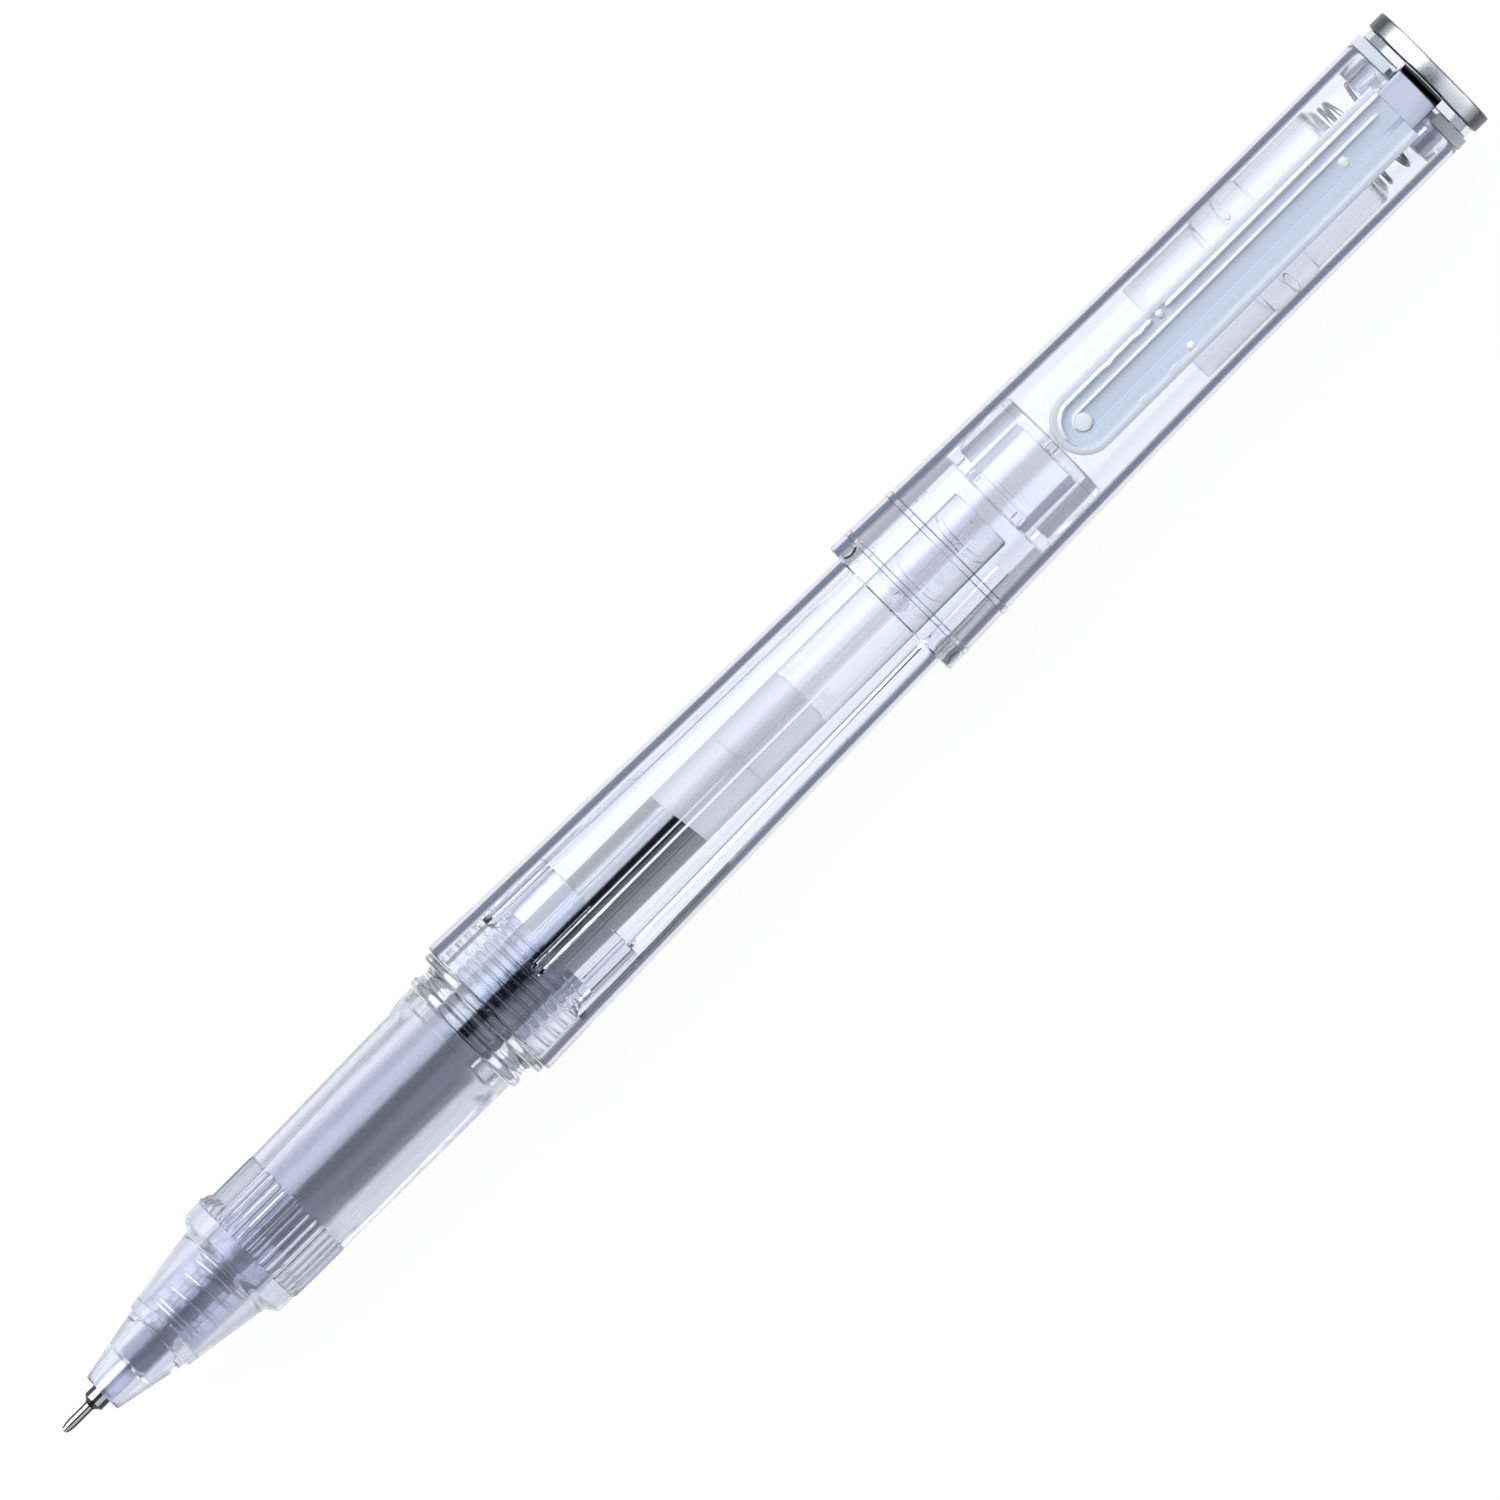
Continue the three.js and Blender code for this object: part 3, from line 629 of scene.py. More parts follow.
def tip_holder():
    front, back = span("tip_holder")
    seat = TUBE_FRONT - 0.08
    channel = TIP_INK + 0.02
    outline = [
        (front, 1.0), (8.6, 1.43), (12.2, 1.43), (12.2, 1.93), (12.9, 1.93), (13.0, 1.8), (seat - 1.2, 1.8),
        (seat - 1.1, 1.93), (seat, 1.93), (seat, 2.36), (back, 2.36), (back, channel), (18.0, channel),
        (18.0, 1.3), (14.6, 1.3), (14.6, channel), (10.8, channel), (10.7, 0.8), (front, 0.8),
    ]
    obj = turned("holder", eased(outline, 0.1), COARSE)
    finish(obj, HOLDER, "refill", "frosted_plastic", "tip_holder")
    return repainted(obj, [SLATE], lambda face, along: STEM_START < along < STEM_END)


def tip_ink():
    """The ink that fills the tip holder, hollow where the valve ball has its chamber."""
    back = span("tip_holder")[1] + 0.03
    outline = eased([
        (10.9, 0.2), (10.9, TIP_INK), (back, TIP_INK), (back, 0.2), (17.9, 0.2), (17.9, 1.02), (14.7, 1.02),
        (14.7, 0.2),
    ], 0.1)
    return finish(turned("tip_ink", outline, COARSE), INK, "refill", "ink")


def valve_ball():
    low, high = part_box("valve_ball")
    return loose_ball("valve", (low + high) / 2, (high.x - low.x) / 2, SPRING, "spring_steel", "valve_ball")


def ink_tube():
    outline = eased([
        (TUBE_FRONT, TUBE_RADIUS), (TUBE_BACK, TUBE_RADIUS), (TUBE_BACK, TUBE_BORE), (TUBE_FRONT, TUBE_BORE),
    ], 0.15)
    return finish(turned("refill_tube", outline, FINE), TUBE, "refill", "clear_plastic", "ink_tube")


def filling(name, front, back, slants, material, slot, node):
    """A filling of the ink tube. Its two ends lean by slants, in millimetres from the axis to the wall."""
    rings = 6
    outline = [(front, INK_RADIUS * k / rings) for k in range(rings + 1)]
    outline += [(back, INK_RADIUS * k / rings) for k in range(rings, -1, -1)]

    def lean(along, radius, angle):
        slant = slants[0] if abs(along - front) < 1e-6 else slants[1] if abs(along - back) < 1e-6 else 0.0
        side = -math.sin(math.radians(angle))
        share = radius / INK_RADIUS
        return along + slant * share * side + 0.25 * slant * share ** 2, radius

    return finish(turned(name, outline, COARSE, lean), material, "refill", slot, node)


def refill_fillings():
    ink_front, ink_back = span("ink_column")
    follower_back = span("ink_follower")[1]
    float_back = span("follower_float")[1]
    touch = 0.02
    filling("ink", ink_front, ink_back, (0.0, 0.36), INK, "ink", "ink_column")
    filling("follower", ink_back + touch, follower_back, (0.36, 0.2), GREASE, "grease", "ink_follower")
    follower_back += 2 * touch
    filling("float", follower_back, float_back, (0.2, 0.0), GREY, "grey_plastic", "follower_float")


def front_spring():
    front, back = span("front_spring")
    wire = 0.16
    stations = [(0, front + wire), (1, 13.6), (2, 14.05), (3, 15.6), (4, 17.3), (5, 18.8), (6, back - wire)]
    obj = swept_wire("nose_spring", coil(0, stations, 2.85), wire)
    return finish(obj, BRIGHT_WIRE, "refill", "spring_steel", "front_spring")


# ---- Writing section ----

FLAT_ANGLES = (80.2, -39.8, -159.8)
NO_FLAT = 99.0
GRIP_RIBS = 43
RIB_START, RIB_END = 22.1, 28.2
RIB_HEIGHT = 0.2
SPIGOT_START, SPIGOT_END = 46.7, 48.0  # the connector's front end, inside the grip

matt_behind(HAZY, RIB_END, 0.13)


def flat_distance(along, flat):
    """How far one of the grip's flats lies from the axis. The second one is shallower."""
    stations = ((22.2, 5.95), (23.6, 4.7), (28.0, 4.7), (45.0, 5.17), (46.6, 5.95))
    if flat == FLAT_ANGLES[1]:
        stations = ((28.4, 5.95), (31.5, 5.3), (45.0, 5.55), (46.6, 5.95))
    if not stations[0][0] < along < stations[-1][0]:
        return NO_FLAT
    (a, low), (b, high) = next(pair for pair in zip(stations, stations[1:]) if along <= pair[1][0])
    return low + (high - low) * (along - a) / (b - a)


def grip_surface(along, radius, angle):
    """The grip's outer surface: three flats, and a band of fine ribs that follows them."""
    if radius < 4.6 or along < 20.4:
        return along, radius
    here = radius
    for flat in FLAT_ANGLES:
        lean = math.cos(math.radians(angle - flat))
        if lean > 0.2:
            here = min(here, flat_distance(along, flat) / lean)
    inside = min(along - RIB_START, RIB_END - along)
    if inside > 0:
        turn = angle * GRIP_RIBS / 360 % 1.0
        crest = math.sqrt(max(0.0, 1 - (min(turn, 1 - turn) / 0.29) ** 2))
        here += RIB_HEIGHT * (crest * math.sqrt(min(1.0, inside / 0.3)) - 0.7)
    return along, here


def grip_section():
    front, back = span("grip_section")
    outer = [
        (front, 1.6), (front, 1.89), (11.5, 3.27), (11.6, 3.5), (11.8, 3.57), (19.6, 4.74), (20.25, 5.65),
        (20.5, 5.78), (22.0, 5.85), (22.1, 5.83), (22.4, 5.83), (23.0, 5.83), (23.6, 5.83), (24.2, 5.85),
        (27.8, 5.85), (28.0, 5.85), (28.2, 5.85), (28.3, 5.85), (45.0, 5.93), (45.4, 5.94), (45.8, 5.94),
        (46.2, 5.94), (46.6, 5.95), (back, 5.95),
    ]
    bore = [
        (back, 4.55), (SPIGOT_START, 4.55), (SPIGOT_START, 3.5), (20.2, 3.5), (19.75, 3.16), (12.72, 3.16),
        (12.72, 2.12), (11.8, 2.12), (11.8, 1.62), (8.25, 1.62), (7.9, 1.15), (front, 1.15),
    ]
    outline = eased(sampled(outer, 1.0) + bore, 0.1, 2)
    obj = turned("grip", outline, evenly(GRIP_RIBS * 12), grip_surface)
    notches = prisms_round("notch", square_bar(46.9, 48.2, 0.38), 5.3, 6.6, evenly(12, 9))
    obj = finish(cut_away(obj, notches), HAZY, "section", "frosted_plastic", "grip_section")

    def choose(face, along):
        if outward(face):
            return RIB_START < along < RIB_END
        return 2 if along > SPIGOT_START else 0

    return repainted(obj, [RIBBED, BONDED], choose)


LEAD = 1.05
THREAD_START = 52.7
CORE = 4.7
THREAD_CREST = 4.93


def ridge(along, angle, width):
    """How much of the thread's rounded ridge stands at a place, from 0 to 1."""
    phase = ((along - THREAD_START) / LEAD + angle / 360) % 1.0
    away = min(phase, 1 - phase) * LEAD
    return max(0.0, 1 - (away / width) ** 2) ** 2


def section_connector():
    front, back = SPIGOT_START + 0.2, span("section_connector")[1]
    thread_end = THREAD_START + 4 * LEAD

    def thread(along, radius, angle):
        if abs(radius - CORE) > 1e-6 or not THREAD_START - 0.3 < along < thread_end + 0.3:
            return along, radius
        run = min(1.0, (along - THREAD_START + 0.3) / 0.6, (thread_end + 0.3 - along) / 0.6)
        return along, radius + (THREAD_CREST - CORE) * ridge(along, angle, 0.3) * run

    head = eased([
        (front, 4.42), (48.1, 4.42), (48.1, 6.15), (48.35, 6.37), (48.95, 6.37), (49.15, 6.1), (49.9, 5.95),
        (50.5, 6.2), (50.6, 6.95), (51.27, 6.95), (51.27, CORE),
    ], 0.12, 2)[1:-1]
    rows = round((back - 51.4) / 0.04)
    core = [(51.4 + (back - 51.4) * k / rows, CORE) for k in range(rows + 1)]
    outline = head + core + [(back, 3.5), (SPIGOT_END, 3.5), (front, 3.5)]
    obj = turned("connector", outline, FINE, thread)
    finish(obj, THICK, "section", "clear_plastic", "section_connector")

    def choose(face, along):
        if along >= SPIGOT_END:
            return 0
        return 2 if outward(face) else 1

    return repainted(obj, [HAZY, BONDED], choose)


# ---- Barrel ----

RIB_ANGLES = evenly(6, -3.2)
RIB_WIDTH = 0.64
RIB_TALL = 0.65
RIB_DRAFT = 1.4  # degrees that each flank of a rib leans out towards its foot
SLOT_WIDTH = 1.2
PLAIN_END = 56.2  # the barrel's bore is plain, and the insert in it uncut, from the mouth to here
POSTED_START = 99.9  # the posted cap covers the barrel from here
BARREL_END = 112.6
PLUG_RIM_END = 113.75


def rib_columns(radius):
    """Angles that follow a circle closely, with a pair of columns at each flank of each rib."""
    half = math.degrees((RIB_WIDTH / 2 - 0.06) / radius)
    columns = []
    for rib in RIB_ANGLES:
        columns += [rib - half - RIB_DRAFT, rib - half, rib, rib + half, rib + half + RIB_DRAFT]
        plain = 60 - 2 * (half + RIB_DRAFT)
        columns += [rib + half + RIB_DRAFT + plain * k / 16 for k in range(1, 16)]
    return columns, half


def apart(angle, other):
    """How far apart two angles are, in degrees."""
    return abs((angle - other + 180) % 360 - 180)


def barrel():
    front, back = span("barrel")
    columns, half = rib_columns(5.6)
    rib_front, rib_back = 56.5, 109.3
    outer = [
        (front, 7.08), (front + 0.13, 7.36), (PLAIN_END, 7.19), (70.0, 6.87), (84.8, 6.46),
        (POSTED_START, 6.165), (100.4, 6.16), (back, 6.04),
    ]
    bore = [
        (back, 5.12), (rib_back + 0.05, 5.15), (rib_back, 5.15), (100.2, 5.345), (99.4, 5.36), (84.8, 5.67),
        (70.0, 6.05), (rib_front + 0.9, 6.33), (rib_front + 0.4, 6.34), (rib_front + 0.1, 6.35),
        (rib_front, 6.36), (rib_front - 0.05, 6.37), (PLAIN_END, 6.37), (front, 6.37),
    ]

    def rib(along, radius, angle):
        outside = radius > 6.4 and along < 70.5 or radius > outer_limit(along)
        if outside or not rib_front <= along <= rib_back:
            return along, radius
        if min(apart(angle, foot) for foot in RIB_ANGLES) > half + 1e-6:
            return along, radius
        tall = RIB_TALL * min(1.0, 0.25 + (along - rib_front) / 0.9)
        if along > POSTED_START and apart(angle, RIB_ANGLES[0]) > 30:
            tall *= 0.35
        return along, radius - tall

    obj = turned("body_tube", outer + bore, columns, rib)
    finish(obj, CLEAR, "barrel", "clear_plastic", "barrel")

    def choose(face, along):
        if not outward(face):
            return 1
        return 2 if along > POSTED_START else 0

    return repainted(obj, [BORE, POSTED], choose)


def outer_limit(along):
    """A radius between the barrel's bore and its outside."""
    return 6.75 - (along - PLAIN_END) * (6.75 - 5.5) / (BARREL_END - PLAIN_END)


def barrel_insert():
    front, back = span("barrel_insert")
    groove_end = 58.7
    rows = round((groove_end - front) / 0.045)
    bore = [(groove_end - (groove_end - front) * k / rows, 4.98) for k in range(rows + 1)]

    def groove(along, radius, angle):
        if radius > 4.99 or along > THREAD_START + 5 * LEAD:
            return along, radius
        return along, radius + 0.1 * ridge(along, angle, 0.36)

    outline = [
        (front, 5.9), (front + 0.1, 6.03), (back - 0.1, 6.03), (back, 5.93), (back, 5.2), (groove_end, 5.2),
    ] + bore
    obj = turned("insert", outline, evenly(120), groove)
    slots = prisms_round("slot", round_bar(56.3, back + 2, SLOT_WIDTH / 2), 4.7, 6.2, RIB_ANGLES, -0.3)
    finish(cut_away(obj, slots), BORE, "barrel", "clear_plastic", "barrel_insert")
    return repainted(obj, [THICK], lambda face, along: outward(face) and along < PLAIN_END)


def tail_plug():
    front, back = span("tail_plug")
    outline = eased([
        (front, 4.98), (112.68, 4.98), (112.68, 6.0), (113.8, 6.0), (113.8, 5.9), (back - 0.2, 5.72),
        (back, 5.55), (back, 0.5), (back - 1.05, 0.5), (back - 1.05, 4.0), (BARREL_END, 4.0), (front, 4.0),
    ], 0.12)
    obj = turned("plug", outline, FINE)
    windows = prisms_round("window", square_bar(112.85, 113.6, 0.45), 5.4, 6.6, evenly(7, -20))
    finish(cut_away(obj, windows), PLUG, "barrel", "clear_plastic", "tail_plug")

    def choose(face, along):
        return 2 if along < BARREL_END else along < PLUG_RIM_END

    return repainted(obj, [BORE, BONDED], choose)


# ---- Cap ----

PIP_ANGLES = (0, 62, 180, -74)
NUB_ANGLES = (54, -54, 126, -126)


def cap_tube():
    front, back = span("cap_tube")
    outer = [
        (front, 6.8), (front + 0.16, 7.33), (101.8, 7.28), (101.86, 7.38), (102.3, 7.37), (102.36, 7.26),
        (106.6, 7.13), (106.68, 7.25), (107.2, 7.24), (107.28, 7.11), (113.6, 6.95), (122.0, 6.77),
        (130.0, 6.62), (137.5, 6.52), (148.0, 6.5), (back - 0.7, 6.5), (back - 0.1, 6.5), (back, 6.44),
    ]
    bore = [
        (back, 5.55), (161.0, 5.55), (148.0, 5.68), (137.5, 5.78), (130.0, 5.86), (122.0, 5.97),
        (114.2, 6.1), (113.6, 6.12), (107.28, 6.34), (107.2, 6.22), (106.68, 6.23), (106.6, 6.36),
        (102.36, 6.38), (102.3, 6.26), (101.86, 6.27), (101.8, 6.4), (front + 0.08, 6.41), (front, 6.48),
    ]
    obj = turned("cap", outer + bore, evenly(128))
    pips = [turned_about_axis(egg(place(100.98, 6.62, 0), (0.9, 1.0, 0.44)), angle) for angle in PIP_ANGLES]
    obj = finish(cut_away(obj, pips, "UNION"), CLEAR, "cap", "clear_plastic", "cap_tube")

    def choose(face, along):
        radius = math.hypot(face.center.y / MM, face.center.z / MM - AXIS_HEIGHT)
        if 100.1 < along < 101.79 and radius < 6.38:
            return 2
        return not outward(face)

    return repainted(obj, [BORE, THICK], choose)


def inner_cap():
    front, back = span("inner_cap")
    outline = eased([
        (front, 5.3), (141.4, 5.3), (141.5, 5.46), (146.7, 5.46), (146.8, 5.3), (back - 0.8, 5.3),
        (back, 4.5), (back, 0), (back - 0.8, 0), (back - 0.8, 4.3), (back - 1.3, 4.75), (front + 1.2, 4.75),
        (front, 4.5),
    ], 0.15)
    nubs = [turned_about_axis(egg(place(144.2, 5.2, 0), (0.5, 1.8, 0.45)), angle) for angle in NUB_ANGLES]
    obj = cut_away(turned("seal_cup", outline, FINE), nubs, "UNION")
    return finish(obj, INNER, "inner_cap", "frosted_plastic", "inner_cap")


def cap_spring():
    front, back = span("cap_spring")
    wire, last = 0.215, 159.6
    stations = [(0, front + wire), (0.5, front + wire + 0.03), (1, 156.95), (1.5, 158.5), (2, last)]
    path = coil(90, stations, 4.385)
    path += [
        path[-1] + Vector((0.25 * MM, 0, -0.1 * MM)),
        path[-1] + Vector(((back - wire - last) * MM, 0, -0.2 * MM)),
    ]
    obj = swept_wire("seal_spring", path, wire)
    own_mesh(finish(obj, SPRING, "cap", "spring_steel", "cap_spring"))
    return obj


def crown_neck():
    outline = [
        (160.2, 0), (160.2, 3.3), (162.28, 3.3), (162.28, 4.85), (159.7, 4.85), (159.7, 5.4), (162.12, 5.4),
        (162.12, 5.2), (163.46, 5.2), (163.46, 6.17), (164.36, 6.17), (164.36, 3.0), (165.3, 3.0), (165.3, 0),
    ]
    obj = turned("neck", eased(outline, 0.1), FINE)
    obj = cut_away(obj, [prism("slot", square_bar(162.4, 164.5, 2.3), 4.27, 8.0)])
    return finish(obj, THICK, "cap", "clear_plastic", "crown_neck")


def crown_ring():
    outline = eased([(162.28, 6.5), (163.38, 6.5), (163.38, 5.3), (162.28, 5.3)], 0.12)
    obj = turned("collar", outline, FINE)
    obj = cut_away(obj, [prism("opening", square_bar(161.5, 164.5, 2.875), 0.0, 8.0)])
    return finish(obj, WHITE, "cap", "white_plastic", "crown_ring")


def crown_disc():
    front, back = span("crown_disc")
    outline = eased([
        (165.38, 0), (165.38, 3.08), (front, 3.08), (front, 6.46), (back, 6.46), (back, 5.2),
        (back - 0.06, 5.0), (back - 0.06, 0),
    ], 0.22, 4)
    return finish(turned("crown", outline, FINE), SATIN, "cap", "satin_metal", "crown_disc")


# ---- Clip ----

def fading(value, first, last):
    """From 0 at first to 1 at last, with soft ends. last may be the lesser."""
    share = min(1.0, max(0.0, (value - first) / (last - first)))
    return share * share * (3 - 2 * share)


CLIP_BALL = 123.0  # along the pen, as are the next five
CLIP_POCKET = 124.05
CLIP_NOTCHES = (128.1, 131.9)
CLIP_PEGS = 134.2
CLIP_BUMP = 154.5
CLIP_GROOVE_END = 159.8
PEG_SIDE = 1.97
ARM_BOTTOM = 7.45
ARM_ROOF = 8.3  # every higher face of the arm belongs to its upper side
RIM_WIDTH = 0.6


def arm_section(half, top):
    """The arm's section from its underside up and in to its middle: how far in from its edge, then the height
    on the side with a bead and on the other side."""
    foot = ((half, 0), (0.1, 0), (0.03, 0.04), (0.0, 0.12))
    section = [(inset, ARM_BOTTOM + up, ARM_BOTTOM + up) for inset, up in foot]
    return section + [(inset, top - beaded, top - plain) for inset, beaded, plain in (
        (0.0, 0.30, 0.30), (0.04, 0.19, 0.19), (0.14, 0.14, 0.14), (0.56, 0.14, 0.14), (0.62, 0.14, 0.17),
        (0.67, 0.13, 0.28), (0.71, 0.12, 0.35), (0.77, 0.08, 0.38), (0.84, 0.03, 0.40), (0.92, 0.00, 0.40),
        (0.99, 0.03, 0.40), (1.04, 0.12, 0.40), (1.08, 0.28, 0.40), (1.14, 0.37, 0.40), (1.26, 0.40, 0.40),
        (1.82, 0.40, 0.40), (1.91, 0.36, 0.42), (2.01, 0.29, 0.47), (2.10, 0.27, 0.52), (2.18, 0.33, 0.55),
        (2.25, 0.45, 0.565), (2.33, 0.54, 0.57), (2.45, 0.57, 0.57), (half, 0.57, 0.57),
    )]


def clip_arm():
    """A frosted trough with soft walls and a groove down its middle. Its underside takes the metal strip, and
    a ball under its free end grips the pocket."""
    front, back = span("clip_arm")
    half, _, top = extent("clip_arm")
    floor_height, groove_height = top - 0.4, top - 0.57
    bend_centre = front + half
    section = arm_section(half, top)
    straight = [bend_centre + (back - front - half) * k / 150 for k in range(1, 151)]
    rounds = 28

    def lifted(inset, height, along):
        """The height, with the groove filled towards the arm's root."""
        if inset < 1.8:
            return height
        return floor_height + (height - floor_height) * fading(along, CLIP_GROOVE_END, CLIP_GROOVE_END - 1.1)

    def inward(inset, along):
        """The inset, with the two notches in each wall."""
        if not RIM_WIDTH - 0.2 < inset < 1.2:
            return inset
        return inset + 0.14 * sum(math.exp(-((along - notch) / 0.4) ** 2) for notch in CLIP_NOTCHES)

    def row(inset):
        """The places round the arm at an inset: down one side, round the free end and up the other side."""
        width = half - inset
        sides = {side: [(x, side * max(half - inward(inset, x), 0.0)) for x in straight] for side in (-1, 1)}
        turns = [math.pi * (k / rounds - 0.5) for k in range(rounds + 1)]
        bend = [(bend_centre - width * math.cos(turn), width * math.sin(turn)) for turn in turns]
        return sides[-1][::-1] + bend + sides[1]

    verts = []
    for inset, beaded, plain in section:
        for x, y in row(inset):
            share = float(y > 0) if x >= bend_centre else fading(y / max(half - inset, 0.1), -0.4, 0.4)
            if inset < 1.3 and abs(x - CLIP_PEGS) < 0.8:
                share = 0.0
            verts.append(point(x, y, lifted(inset, plain + (beaded - plain) * share, x)))
    count = len(verts) // len(section)
    faces = []
    for k in range(len(section) - 1):
        faces += band(k, k + 1, count, closed=False)
    starts = [k * count for k in range(len(section))]
    ends = [k * count + count - 1 for k in range(len(section))]
    faces.append(tuple(starts[1:] + ends[-2:0:-1] + starts[:1]))
    obj = cut_away(
        new_object("arm", verts, faces, 50),
        [prism("pocket", square_bar(CLIP_POCKET, back + 1, 2.365), 6.0, 8.28)],
    )
    lumps = [
        egg(point(CLIP_BALL, 0, 7.76), (0.9, 0.9, 0.9)),
        egg(point(CLIP_BUMP, 0, groove_height - 0.05), (0.5, 0.55, 0.22), 3),
        egg(point(CLIP_PEGS, -PEG_SIDE, floor_height), (0.42, 0.42, 0.32), 3),
        egg(point(CLIP_PEGS, PEG_SIDE, floor_height), (0.42, 0.42, 0.32), 3),
        egg(point(CLIP_BALL, 0, floor_height), (0.82, 0.82, 0.14)),
    ]
    finish(cut_away(obj, lumps, "UNION"), ARM, "clip", "arm_plastic", "clip_arm")

    def choose(face, along):
        side, height = face.center.y / MM, face.center.z / MM - AXIS_HEIGHT
        inset = half - (abs(side) if along > bend_centre else math.hypot(along - front - half, side))
        raised = height > floor_height + 0.03 and (
            math.dist((along, side), (CLIP_BALL, 0)) < 0.85
            or math.dist((along, abs(side)), (CLIP_PEGS, PEG_SIDE)) < 0.44
        )
        bump = math.dist((along, side), (CLIP_BUMP, 0)) < 0.5
        highlighted_slope = side > 0 and height > floor_height + 0.02 and (0.69 < inset < 1.0 or 1.85 < inset < 2.15)
        # Painted highlight: the slopes on the +Y side, the disc over the ball, the pegs and the bump take the
        # lighter copy.
        if height > ARM_ROOF and (raised or bump or highlighted_slope):
            return 2
        if height > ARM_BOTTOM and inset < RIM_WIDTH - 0.02:
            return 1
        # Painted shade: the slopes of the rim and the groove on the -Y side take the darker copy.
        painted_shade = side < 0 and height > groove_height + 0.01 and (0.6 < inset < 0.8 or 1.85 < inset < 2.3)
        return 3 if painted_shade else 0

    return repainted(obj, [RIM, ARM_PAINTED_HIGHLIGHT, ARM_PAINTED_SHADE], choose)


def clip_strip():
    """Sheet metal under the arm. It comes out at the arm's root as a bright plate that turns down into the
    crown."""
    front, back = span("clip_strip")
    half, leg, top = extent("clip_strip")
    thick, under_arm, bend, droop = 0.48, 8.2, 1.0, 0.13
    start = back - bend
    steps = [math.pi / 2 * k / 8 for k in range(1, 9)]
    upper = [(front, under_arm), (160.55, under_arm), (160.72, top), (start, top - droop)]
    upper += [(start + bend * math.sin(t), top - droop - bend * (1 - math.cos(t))) for t in steps]
    inner = bend - thick
    lower = [(back, leg), (back - thick, leg)]
    lower += [(start + inner * math.sin(t), top - droop - bend + inner * math.cos(t)) for t in steps[::-1]]
    lower += [(start, top - droop - thick), (160.72, top - thick)]
    lower += [(160.55, under_arm - thick), (front, under_arm - thick)]
    outline = upper + lower
    count = len(outline)
    verts = [point(x, side, z) for side in (-half, half) for x, z in outline]
    faces = [tuple(range(count)), tuple(range(count, 2 * count))]
    obj = new_object("strip", verts, faces + band(0, 1, count))
    bm = bmesh.new()
    bm.from_mesh(obj.data)
    sides = [e for e in bm.edges if abs(e.verts[0].co.y - e.verts[1].co.y) < MERGED]
    bmesh.ops.bevel(bm, geom=sides, offset=0.07 * MM, segments=2, profile=0.5, affect="EDGES")
    bm.to_mesh(obj.data)
    bm.free()
    smooth(obj.data)
    finish(obj, STRIP, "clip", "chrome", "clip_strip")
    return repainted(obj, [CHROME], lambda face, along: along > 160.5)


def clip_anchor():
    front, back = span("clip_anchor")
    half, bottom, top = extent("clip_anchor")
    obj = prism("anchor", square_bar(front, back, half), bottom, top, 0.06)
    return finish(obj, CHROME, "cap", "chrome", "clip_anchor")


# ---- Floor, light and camera ----

def floor():
    """A sheet of white paper on a light table."""
    material, principled = shader_tree("paper")
    link = material.node_tree.links.new
    cloud = noise(material, 6, 3.0)
    link(blended(material, cloud, (0.11, 0.11, 0.11), (0.13, 0.13, 0.13)), principled.inputs["Base Color"])
    principled.inputs["Roughness"].default_value = 0.9
    principled.inputs["Specular IOR Level"].default_value = 0.1
    principled.inputs["Emission Color"].default_value = (1.0, 1.0, 1.0, 1.0)
    principled.inputs["Emission Strength"].default_value = 0.94
    bpy.ops.mesh.primitive_plane_add(size=3.0, location=(0, 0, 0))
    obj = bpy.context.active_object
    obj.name = "floor"
    obj.data.materials.append(material)


# The sky's strength by its angle in degrees about the pen's direction, from overhead towards +Y.
SKY = (
    (-100, 0.03), (-92, 0.6), (-24, 0.6), (-15, 0.03), (19, 0.03), (28, 3.0), (88, 3.0), (100, 0.03),
)
# The strength added by how far a direction leans along the pen, from 0, square to it, to 1, past the crown.
END_PANEL = (
    (0.08, 0.0), (0.12, 0.75), (0.36, 0.75), (0.38, 0.02), (0.50, 0.02), (0.52, 1.0), (0.58, 1.0),
    (0.60, 0.02),
)


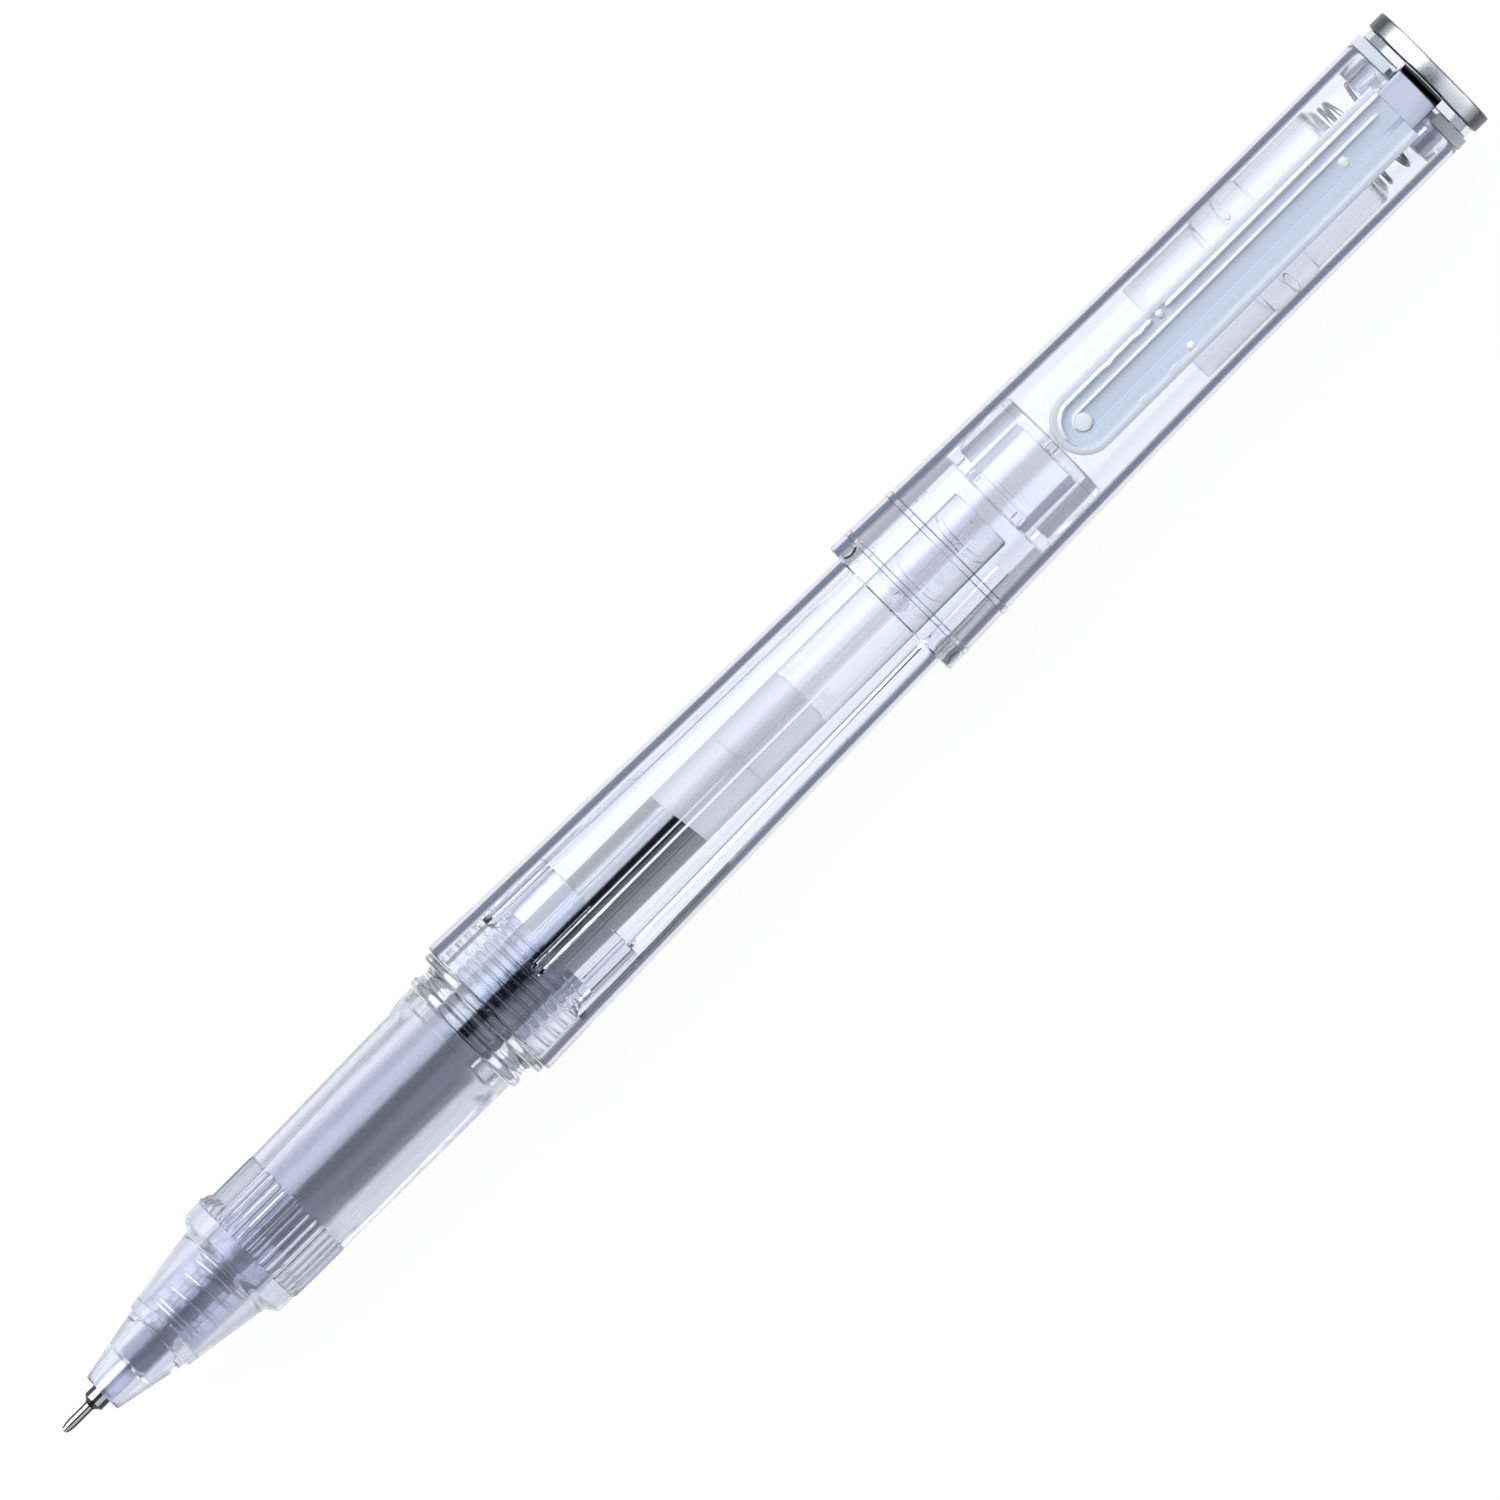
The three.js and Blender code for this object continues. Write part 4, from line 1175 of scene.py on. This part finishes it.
def studio_light():
    """A dim room with two long soft boxes beside the pen, the brighter one towards +Y, and two panels that
    stand a little towards its crown."""
    world = bpy.data.worlds.new("studio")
    bpy.context.scene.world = world
    world.use_nodes = True
    nodes, link = world.node_tree.nodes, world.node_tree.links.new
    nodes.clear()
    background = nodes.new("ShaderNodeBackground")
    background.inputs["Color"].default_value = (0.88, 0.93, 1.0, 1.0)
    direction = place_of_shading(world, "Generated")
    turn = worked_out(world, "ARCTAN2", direction["Y"], direction["Z"])
    curve = nodes.new("ShaderNodeFloatCurve")
    curve.mapping.use_clip = False
    points = curve.mapping.curves[0].points
    while len(points) < len(SKY):
        points.new(0.5, 0.5)
    for dot, (angle, strength) in zip(points, SKY):
        dot.location = (0.5 + angle / 360, strength)
        dot.handle_type = "VECTOR"
    curve.mapping.update()
    link(spread(world, turn, 0.0, 1.0, -math.pi, math.pi), curve.inputs["Value"])
    beside = spread(world, worked_out(world, "ABSOLUTE", direction["X"]), 0.0, 1.0, 0.72, 0.52, "SMOOTHSTEP")
    boxes = worked_out(world, "MULTIPLY", curve.outputs["Value"], beside)
    all_light = worked_out(world, "ADD", boxes, levels(world, direction["X"], END_PANEL))
    link(all_light, background.inputs["Strength"])
    link(background.outputs["Background"], nodes.new("ShaderNodeOutputWorld").inputs["Surface"])


VIEW_TURN = 44.874  # degrees between the pen and the picture's horizontal
VIEW_TILT = 2.2  # degrees that the camera stands towards +Y
VIEW_WIDTH = 0.1287  # metres across the picture at the pen
VIEW_DISTANCE = 4.2
VIEW_DROP = 0.00017  # metres that the picture's middle lies below the pen's


def camera():
    tilt = math.radians(VIEW_TILT)
    turn = math.radians(VIEW_TURN)
    towards = Vector((0, math.sin(tilt), math.cos(tilt)))
    across = Vector((0, math.cos(tilt), -math.sin(tilt)))
    pen = Vector((1, 0, 0))
    right = pen * math.cos(turn) - across * math.sin(turn)
    up = pen * math.sin(turn) + across * math.cos(turn)
    middle = place((span("needle_tip")[0] + span("crown_disc")[1]) / 2, 0, 0)
    data = bpy.data.cameras.new("camera")
    data.sensor_width = 36
    data.lens = data.sensor_width * VIEW_DISTANCE / VIEW_WIDTH
    data.clip_end = 10
    obj = linked("camera", data)
    spot = middle - up * VIEW_DROP + towards * VIEW_DISTANCE
    obj.matrix_world = Matrix.Translation(spot) @ Matrix((right, up, towards)).transposed().to_4x4()
    bpy.context.scene.camera = obj


camera()
floor()
studio_light()
scene = bpy.context.scene
scene.view_settings.view_transform = "Standard"
scene.view_settings.look = "None"
scene.cycles.max_bounces = 32
scene.cycles.transmission_bounces = 32
scene.cycles.glossy_bounces = 8

for build in (
    writing_ball, needle_tip, tip_holder, tip_ink, valve_ball, ink_tube, refill_fillings, front_spring,
    grip_section, section_connector, barrel, barrel_insert, tail_plug, cap_tube, inner_cap, cap_spring,
    crown_neck, crown_ring, crown_disc, clip_arm, clip_strip, clip_anchor,
):
    build()
